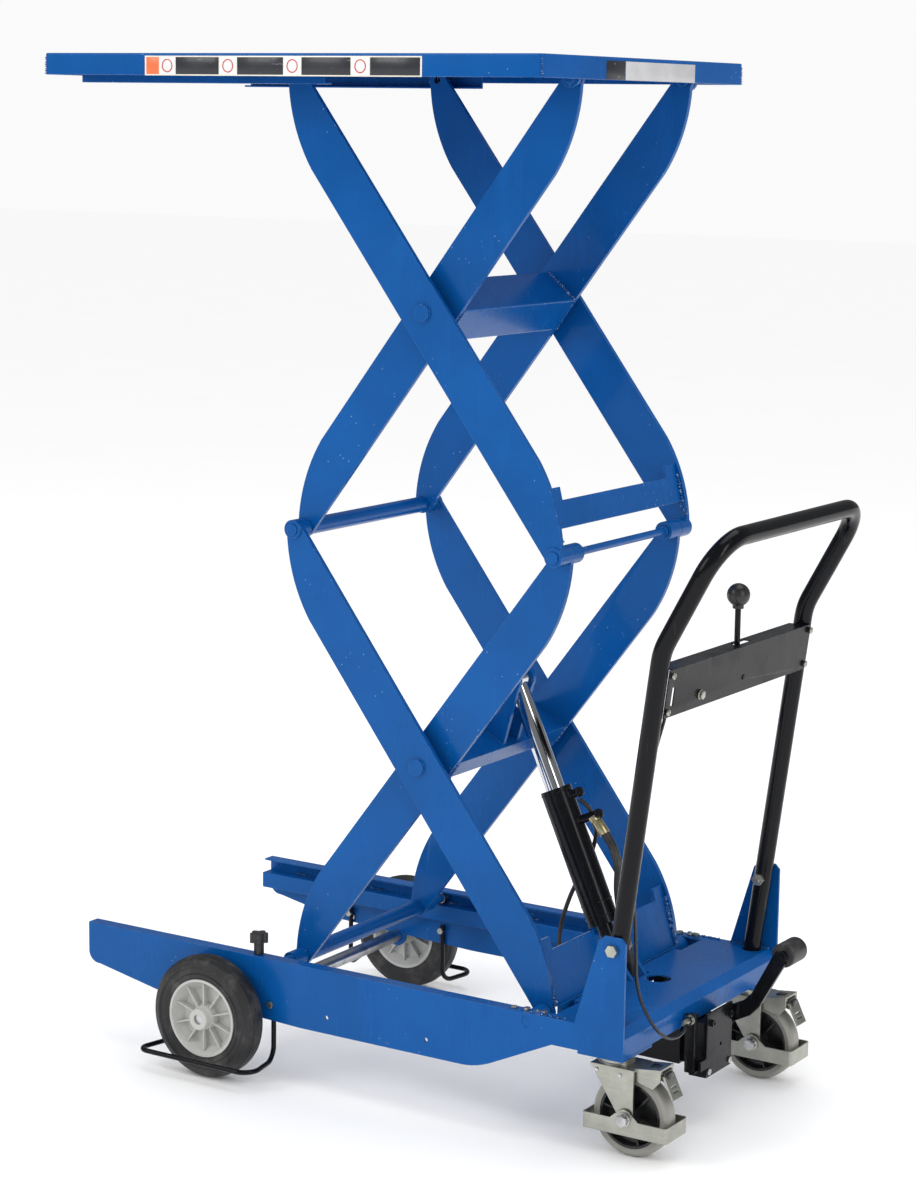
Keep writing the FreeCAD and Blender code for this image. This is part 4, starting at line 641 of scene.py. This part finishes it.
def arm_welds():
    """Ripple welds of the braces, tubes and middle box to the arms."""
    sizes = bpy.context.scene.lift_table_sizes
    width = sizes.weld_width
    pitch = sizes.weld_pitch
    runs = {
        "lower_outer": [
            (LOW_FIXED, MID_FRONT, (2, 17), (78, 41), OUTER_ARM_INSIDE - 1, 1.0),
            (LOW_FIXED, MID_FRONT, (0, 9), (72, 33), OUTER_ARM_INSIDE - 1, 0.7)],
        "upper_outer": [
            (MID_REAR, TOP_ROLLER, (34, 26), (73, 40), OUTER_ARM_INSIDE - 1, 0.7),
            (MID_REAR, TOP_ROLLER, (14, 20), (50, 18), OUTER_ARM_INSIDE - 1, 0.8),
            (MID_REAR, TOP_ROLLER, (50, 18), (84, 28), OUTER_ARM_INSIDE - 1, 0.8)],
        "lower_inner": [
            (LOW_ROLLER, MID_REAR, (447, -35), (441, 28), INNER_ARM_INSIDE - 1, 0.8),
            (LOW_ROLLER, MID_REAR, (422, -38), (450, -38), INNER_ARM_INSIDE - 1, 0.8)],
        "upper_inner": [
            (MID_FRONT, TOP_FIXED, (394, -38), (448, -38), INNER_ARM_INSIDE - 1, 0.8),
            (MID_FRONT, TOP_FIXED, (450, -37), (457, 24), INNER_ARM_INSIDE - 1, 0.8)],
    }
    for body, rows in runs.items():
        shape = bmesh.new()
        for lower, upper, start, end, y, share in rows:
            for side in (-1, 1):
                add_bead(shape, beside_arm(lower, upper, *start, side * y),
                         beside_arm(lower, upper, *end, side * y), width * share, pitch)
        whole_piece(shape, body + "_welds", "weld_blue", body)


class LIFT_TABLE_OT_scissors(bpy.types.Operator):
    """Finishes the scissor arms, their braces, tubes, pins and rollers"""

    bl_idname = "lift_table.scissors"
    bl_label = "Finish scissors"

    def execute(self, context):
        for stage in ("lower_outer", "lower_inner", "upper_inner", "upper_outer"):
            for side in SIDES:
                soften(f"{stage}_arm_{side}", "enamel_blue", stage)
        soften("lower_outer_brace", "enamel_blue", "lower_outer")
        soften("lower_inner_brace", "enamel_blue", "lower_inner")
        soften("upper_inner_box", "enamel_blue", "upper_inner", 0.0035)
        soften("upper_outer_brace", "enamel_blue", "upper_outer")
        coat_nodes(("upper_cross_tube", "lower_roller_shaft", "joint_rod"), "enamel_blue")
        rollers = [f"{level}_roller_{side}" for level in ("lower", "upper") for side in SIDES]
        coat_nodes(rollers, "steel_turned")
        pin_caps()
        arm_welds()
        return {"FINISHED"}


# ---------------------------------------------------------------- base frame


def frame_fasteners():
    """Small screws on the rail flanges and bolts over the caster plates."""
    shape = bmesh.new()
    size = bpy.context.scene.lift_table_sizes.screw_size
    for side in (-1, 1):
        for x in (-28, 12):
            add_socket_screw(shape, at(x, side * 244, 200), (0, 0, 1), size)
        for x, z in ((-770, 150), (-660, 118)):
            add_socket_screw(shape, at(x, side * (RAIL_FACE - 4.2), z), (0, -side, 0), size)
    whole_piece(shape, "frame_screws", "zinc_plating", "base")


def deck_lip():
    """Folded gutter below the deck's front edge, on both sides of the cylinder."""
    shape = bmesh.new()
    for side in (-1, 1):
        ends = sorted((side * 42, side * 191))
        add_block(shape, at(15.5, ends[0], 176), at(18, ends[1], 197.5), 0.0006)
        add_block(shape, at(15.5, ends[0], 175), at(42, ends[1], 177.5), 0.0006)
    whole_piece(shape, "deck_lip", "enamel_blue", "base")


def frame_welds():
    """Tacks of the deck and tracks to the side rails."""
    sizes = bpy.context.scene.lift_table_sizes
    shape = bmesh.new()
    for side in (-1, 1):
        for start, end in ((32, 62), (84, 116), (126, 150)):
            add_bead(shape, at(start, side * 249.5, 200.5), at(end, side * 249.5, 200.5),
                     sizes.weld_width * 0.6, sizes.weld_pitch)
        add_bead(shape, at(6, side * 250, 201), at(24, side * 250, 201),
                 sizes.weld_width * 0.8, sizes.weld_pitch)
        for start in (-780, -620, -460, -300, -140):
            add_bead(shape, at(start, side * 249.5, 177), at(start + 26, side * 249.5, 177),
                     sizes.weld_width * 0.6, sizes.weld_pitch)
    whole_piece(shape, "frame_welds", "weld_blue", "base")


class LIFT_TABLE_OT_base(bpy.types.Operator):
    """Finishes the base frame: side rails, tracks, deck, brackets, bolts and pins"""

    bl_idname = "lift_table.base"
    bl_label = "Finish base frame"

    def execute(self, context):
        for side in SIDES:
            soften(f"side_rail_{side}", "enamel_blue", "base")
            soften(f"roller_track_{side}", "enamel_blue", "base")
        coat_node("deck_plate", "enamel_blue")
        soften("frame_brackets", "enamel_blue", "base")
        soften("frame_bolts", "zinc_plating", "base", 0.0004)
        coat_node("frame_pins", "enamel_blue")
        frame_fasteners()
        deck_lip()
        frame_welds()
        return {"FINISHED"}


class LIFT_TABLE_OT_knob(bpy.types.Operator):
    """Finishes the star knob on the left rail"""

    bl_idname = "lift_table.knob"
    bl_label = "Finish star knob"

    def execute(self, context):
        soften("star_knob", "plastic_black", "knob", 0.0006)
        return {"FINISHED"}


# ---------------------------------------------------------------- wheels and casters


class LIFT_TABLE_OT_wheels(bpy.types.Operator):
    """Finishes the load wheels, their axle and the wire guards"""

    bl_idname = "lift_table.wheels"
    bl_label = "Finish load wheels"

    def execute(self, context):
        coat_node("wheel_axle", "steel_turned")
        for side in SIDES:
            coat_node(f"wheel_guard_{side}", "enamel_black")
            coat_node(f"wheel_tyre_{side}", "rubber_tyre")
            coat_node(f"wheel_hub_{side}", "plastic_hub")
        return {"FINISHED"}


def caster_details(side):
    """Brake block, rivets, axle bolt and swivel race rings of one caster."""
    sign = SIDES[side]
    middle = sign * CASTER_MIDDLE
    block = bmesh.new()
    add_block(block, at(204, middle - 13, 128), at(217, middle + 13, 141), 0.0016)
    add_block(block, at(212, middle - 8, 124), at(221, middle + 8, 138), 0.0016)
    add_block(block, at(190, middle - 7, 140), at(206, middle + 7, 144.5), 0.0010)
    whole_piece(block, f"brake_block_{side}", "nylon_black", f"brake_{side}")
    metal = bmesh.new()
    for face in (-1, 1):
        outward = Vector((0, face, 0))
        add_hexagon(metal, at(162, middle + face * 33.7, 63.5), outward, 0.017, 0.0095)
        add_drum(metal, at(151.5, middle + face * 28.8, 128), outward, 0.0034, 0.002, 20, 0.0008)
        add_drum(metal, at(112, middle + face * 28.8, 130), outward, 0.0034, 0.002, 20, 0.0008)
    whole_piece(metal, f"caster_bolts_{side}", "steel_turned", f"caster_{side}")
    race = bmesh.new()
    for height in (141.5, 149.0):
        add_ring(race, at(130, middle, height), (0, 0, 1), 0.0268, 0.0016, 48, 8)
    whole_piece(race, f"caster_race_{side}", "zinc_plating", f"caster_{side}")


class LIFT_TABLE_OT_casters(bpy.types.Operator):
    """Finishes the swivel casters: forks, treads, cores and brake pedals"""

    bl_idname = "lift_table.casters"
    bl_label = "Finish casters"

    def execute(self, context):
        for side in SIDES:
            soften(f"caster_fork_{side}", "zinc_plating", f"caster_{side}", 0.0006)
            soften(f"brake_pedal_{side}", "zinc_plating", f"brake_{side}", 0.0006)
            coat_node(f"caster_tread_{side}", "rubber_tread")
            coat_node(f"caster_core_{side}", "nylon_black")
            caster_details(side)
        return {"FINISHED"}


# ---------------------------------------------------------------- handle, pump and cylinder


def panel_screws():
    """Screws at the corners of the handle panel and the hexagon bolt of the lever."""
    shape = bmesh.new()
    size = bpy.context.scene.lift_table_sizes.screw_size
    for y in (-226, 226):
        for x, z in ((213.2, 732), (205.4, 678)):
            add_socket_screw(shape, at(x + 2.2, y, z), PANEL_FACING, size)
    add_hexagon(shape, at(207.8, -126, 688), PANEL_FACING, 0.012, 0.006)
    whole_piece(shape, "panel_screws", "zinc_plating", "base")


def cable_hook():
    """Small hook welded on the left upright that steadies the release cable."""
    shape = bmesh.new()
    centre = at(180, -221, 590)
    add_ring(shape, centre, (0.12, 0, 1), 0.0052, 0.0013, 30, 8)
    whole_piece(shape, "cable_hook", "enamel_black", "base")


class LIFT_TABLE_OT_handle(bpy.types.Operator):
    """Finishes the push handle, its panel, screws, release lever and cable"""

    bl_idname = "lift_table.handle"
    bl_label = "Finish handle"

    def execute(self, context):
        coat_node("handle_frame", "enamel_black")
        soften("handle_panel", "sheet_black", "base", 0.0007)
        soften("handle_bolts", "zinc_plating", "base", 0.0004)
        coat_node("release_lever", "enamel_black")
        coat_node("lever_ball", "plastic_black")
        coat_node("release_cable", "cable_sheath")
        panel_screws()
        cable_hook()
        return {"FINISHED"}


def pump_screws():
    """Socket screws on the pump's front plate."""
    shape = bmesh.new()
    size = bpy.context.scene.lift_table_sizes.screw_size
    for y, z in ((-36, 84), (33, 84)):
        add_socket_screw(shape, at(194, y, z), (1, 0, 0), size)
    whole_piece(shape, "pump_screws", "steel_turned", "base")


def cable_end():
    """Ferrule and lock nut where the cable meets its bracket."""
    ferrule = bmesh.new()
    away = Vector((0, -1, 0))
    x, z = CABLE_BRACKET
    add_drum(ferrule, at(x, -70, z), away, 0.0046, 0.014, 28, 0.0006)
    add_drum(ferrule, at(x, -83, z), away, 0.0039, 0.006, 28, 0.0008)
    add_hexagon(ferrule, at(x, -66, z), away, 0.0128, 0.0052)
    whole_piece(ferrule, "cable_ferrule", "zinc_plating", "base")


class LIFT_TABLE_OT_pump(bpy.types.Operator):
    """Finishes the pump, its plate and screws, the foot pedal and the release arm"""

    bl_idname = "lift_table.pump"
    bl_label = "Finish pump"

    def execute(self, context):
        soften("pump_body", "enamel_black", "base", 0.0012)
        soften("pump_plate", "sheet_black", "base", 0.0006)
        soften("release_arm", "sheet_black", "release", 0.0005)
        soften("pedal_arm", "enamel_black", "pedal", 0.0008)
        coat_node("pedal_pad", "rubber_hose")
        pump_screws()
        cable_end()
        return {"FINISHED"}


def cylinder_bands():
    """End cap, gland ring and seams of the cylinder's barrel."""
    run = (Vector(CYLINDER_HEAD) - Vector(CYLINDER_FOOT)).normalized()
    axis = Vector((run.x, 0, run.y))
    shape = bmesh.new()
    for along in (52, 74, 256):
        add_ring(shape, beside_cylinder(along, 0), axis, 0.0251, 0.0010, 56, 8)
    whole_piece(shape, "barrel_bands", "barrel_black", "barrel")


def hose_fittings():
    """Ferrules, hexagon nuts and banjo bolts where the hoses meet the barrel."""
    ferrules = bmesh.new()
    start = beside_cylinder(194, 51)
    end = beside_cylinder(170, 57)
    add_drum(ferrules, start, end - start, 0.0092, (end - start).length, 28, 0.0008)
    add_drum(ferrules, start - (end - start) * 0.35, end - start, 0.0104, 0.0085, 6, 0.0004)
    whole_piece(ferrules, "hose_ferrule", "zinc_plating_yellow", "barrel")
    bolts = bmesh.new()
    for along, reach in ((203, 60), (245, 40)):
        centre = beside_cylinder(along, reach)
        way = centre - beside_cylinder(along, 0)
        add_hexagon(bolts, centre - way.normalized() * 0.003, way, 0.013, 0.007)
    whole_piece(bolts, "banjo_bolts", "barrel_black", "barrel")


class LIFT_TABLE_OT_cylinder(bpy.types.Operator):
    """Finishes the lifting cylinder: barrel, rod, hoses and their fittings"""

    bl_idname = "lift_table.cylinder"
    bl_label = "Finish cylinder"

    def execute(self, context):
        coat_node("cylinder_barrel", "barrel_black")
        coat_node("cylinder_rod", "chrome_plating")
        coat_node("hydraulic_hoses", "rubber_hose")
        cylinder_bands()
        hose_fittings()
        return {"FINISHED"}


# ---------------------------------------------------------------- stage


def add_light(name, place, aim, size, power, tint=(1, 1, 1)):
    lamp = bpy.data.lights.new(name, "AREA")
    lamp.shape = "RECTANGLE"
    lamp.size = size[0]
    lamp.size_y = size[1]
    lamp.energy = power
    lamp.color = tint
    light = bpy.data.objects.new(name, lamp)
    light.location = place
    light.rotation_euler = (Vector(aim) - Vector(place)).to_track_quat("-Z", "Y").to_euler()
    bpy.context.scene.collection.objects.link(light)


def light_from_all_round(tree):
    """White studio walls that show only dimly in gloss."""
    seen = tree.nodes["Background"]
    seen.inputs["Color"].default_value = (1, 1, 1, 1)
    seen.inputs["Strength"].default_value = 0.96
    cast = tree.nodes.new("ShaderNodeBackground")
    cast.inputs["Color"].default_value = (0.93, 0.96, 1, 1)
    cast.inputs["Strength"].default_value = 0.22
    path = tree.nodes.new("ShaderNodeLightPath")
    either = tree.nodes.new("ShaderNodeMixShader")
    tree.links.new(path.outputs["Is Glossy Ray"], either.inputs["Fac"])
    tree.links.new(seen.outputs["Background"], either.inputs[1])
    tree.links.new(cast.outputs["Background"], either.inputs[2])
    tree.links.new(either.outputs["Shader"], tree.nodes["World Output"].inputs["Surface"])


def add_camera():
    """A long lens at about the height of the raised platform, off the handle end on the left."""
    turn = math.radians(CAMERA_TURN)
    pitch = math.radians(CAMERA_PITCH)
    roll = math.radians(CAMERA_ROLL)
    back = Vector((math.sin(turn) * math.cos(pitch), -math.cos(turn) * math.cos(pitch), math.sin(pitch)))
    right = Vector((math.cos(turn), math.sin(turn), 0))
    up = back.cross(right)
    across = right * math.cos(roll) + up * math.sin(roll)
    upward = up * math.cos(roll) - right * math.sin(roll)
    lens = bpy.data.cameras.new("view")
    lens.lens = 84.08
    lens.sensor_width = 36
    lens.shift_x = -0.01
    lens.shift_y = 0.003
    camera = bpy.data.objects.new("view", lens)
    camera.matrix_world = (Matrix.Translation(CAMERA_PLACE)
                           @ Matrix((across, upward, back)).transposed().to_4x4())
    bpy.context.scene.collection.objects.link(camera)
    bpy.context.scene.camera = camera


class LIFT_TABLE_OT_stage(bpy.types.Operator):
    """Adds the pale floor, the soft studio light and the camera"""

    bl_idname = "lift_table.stage"
    bl_label = "Add stage"

    def execute(self, context):
        half = context.scene.lift_table_sizes.floor_size / 2
        shape = bmesh.new()
        bmesh.ops.create_grid(shape, x_segments=1, y_segments=1, size=half)
        mesh = bpy.data.meshes.new("floor")
        shape.to_mesh(mesh)
        shape.free()
        mesh.materials.append(finish("pale_floor"))
        ground = bpy.data.objects.new("floor", mesh)
        context.scene.collection.objects.link(ground)
        world = bpy.data.worlds.new("studio")
        world.use_nodes = True
        light_from_all_round(world.node_tree)
        context.scene.world = world
        context.scene.view_settings.view_transform = "Standard"
        add_light("key", (-3.0, -4.2, 3.6), (0, 0, 0.8), (2.6, 2.6), 80)
        add_light("fill", (4.6, -1.4, 2.4), (0, 0, 0.7), (1.0, 3.2), 45)
        add_light("top", (0.2, 0.6, 4.8), (0, 0, 0.5), (3.4, 3.4), 60)
        add_camera()
        return {"FINISHED"}


OPERATORS = (
    LIFT_TABLE_OT_platform,
    LIFT_TABLE_OT_scissors,
    LIFT_TABLE_OT_base,
    LIFT_TABLE_OT_knob,
    LIFT_TABLE_OT_wheels,
    LIFT_TABLE_OT_casters,
    LIFT_TABLE_OT_handle,
    LIFT_TABLE_OT_pump,
    LIFT_TABLE_OT_cylinder,
    LIFT_TABLE_OT_stage,
)


class LIFT_TABLE_PT_panel(bpy.types.Panel):
    """Sizes, colours and steps of the lift table"""

    bl_idname = "LIFT_TABLE_PT_panel"
    bl_label = "Lift table"
    bl_space_type = "VIEW_3D"
    bl_region_type = "UI"
    bl_category = "Lift table"

    def draw(self, context):
        layout = self.layout
        for group in (context.scene.lift_table_sizes, context.scene.lift_table_colours):
            box = layout.box()
            for name in group.bl_rna.properties.keys():
                if name not in {"rna_type", "name"}:
                    box.prop(group, name)
        for operator in OPERATORS:
            layout.operator(operator.bl_idname)


CLASSES = (LiftTableSizes, LiftTableColours, *OPERATORS, LIFT_TABLE_PT_panel)


def register():
    for each in CLASSES:
        bpy.utils.register_class(each)
    bpy.types.Scene.lift_table_sizes = bpy.props.PointerProperty(type=LiftTableSizes)
    bpy.types.Scene.lift_table_colours = bpy.props.PointerProperty(type=LiftTableColours)


def unregister():
    del bpy.types.Scene.lift_table_colours
    del bpy.types.Scene.lift_table_sizes
    for each in reversed(CLASSES):
        bpy.utils.unregister_class(each)


def main():
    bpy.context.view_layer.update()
    register()
    bpy.ops.lift_table.platform()
    bpy.ops.lift_table.scissors()
    bpy.ops.lift_table.base()
    bpy.ops.lift_table.knob()
    bpy.ops.lift_table.wheels()
    bpy.ops.lift_table.casters()
    bpy.ops.lift_table.handle()
    bpy.ops.lift_table.pump()
    bpy.ops.lift_table.cylinder()
    bpy.ops.lift_table.stage()


if __name__ == "__main__":
    main()
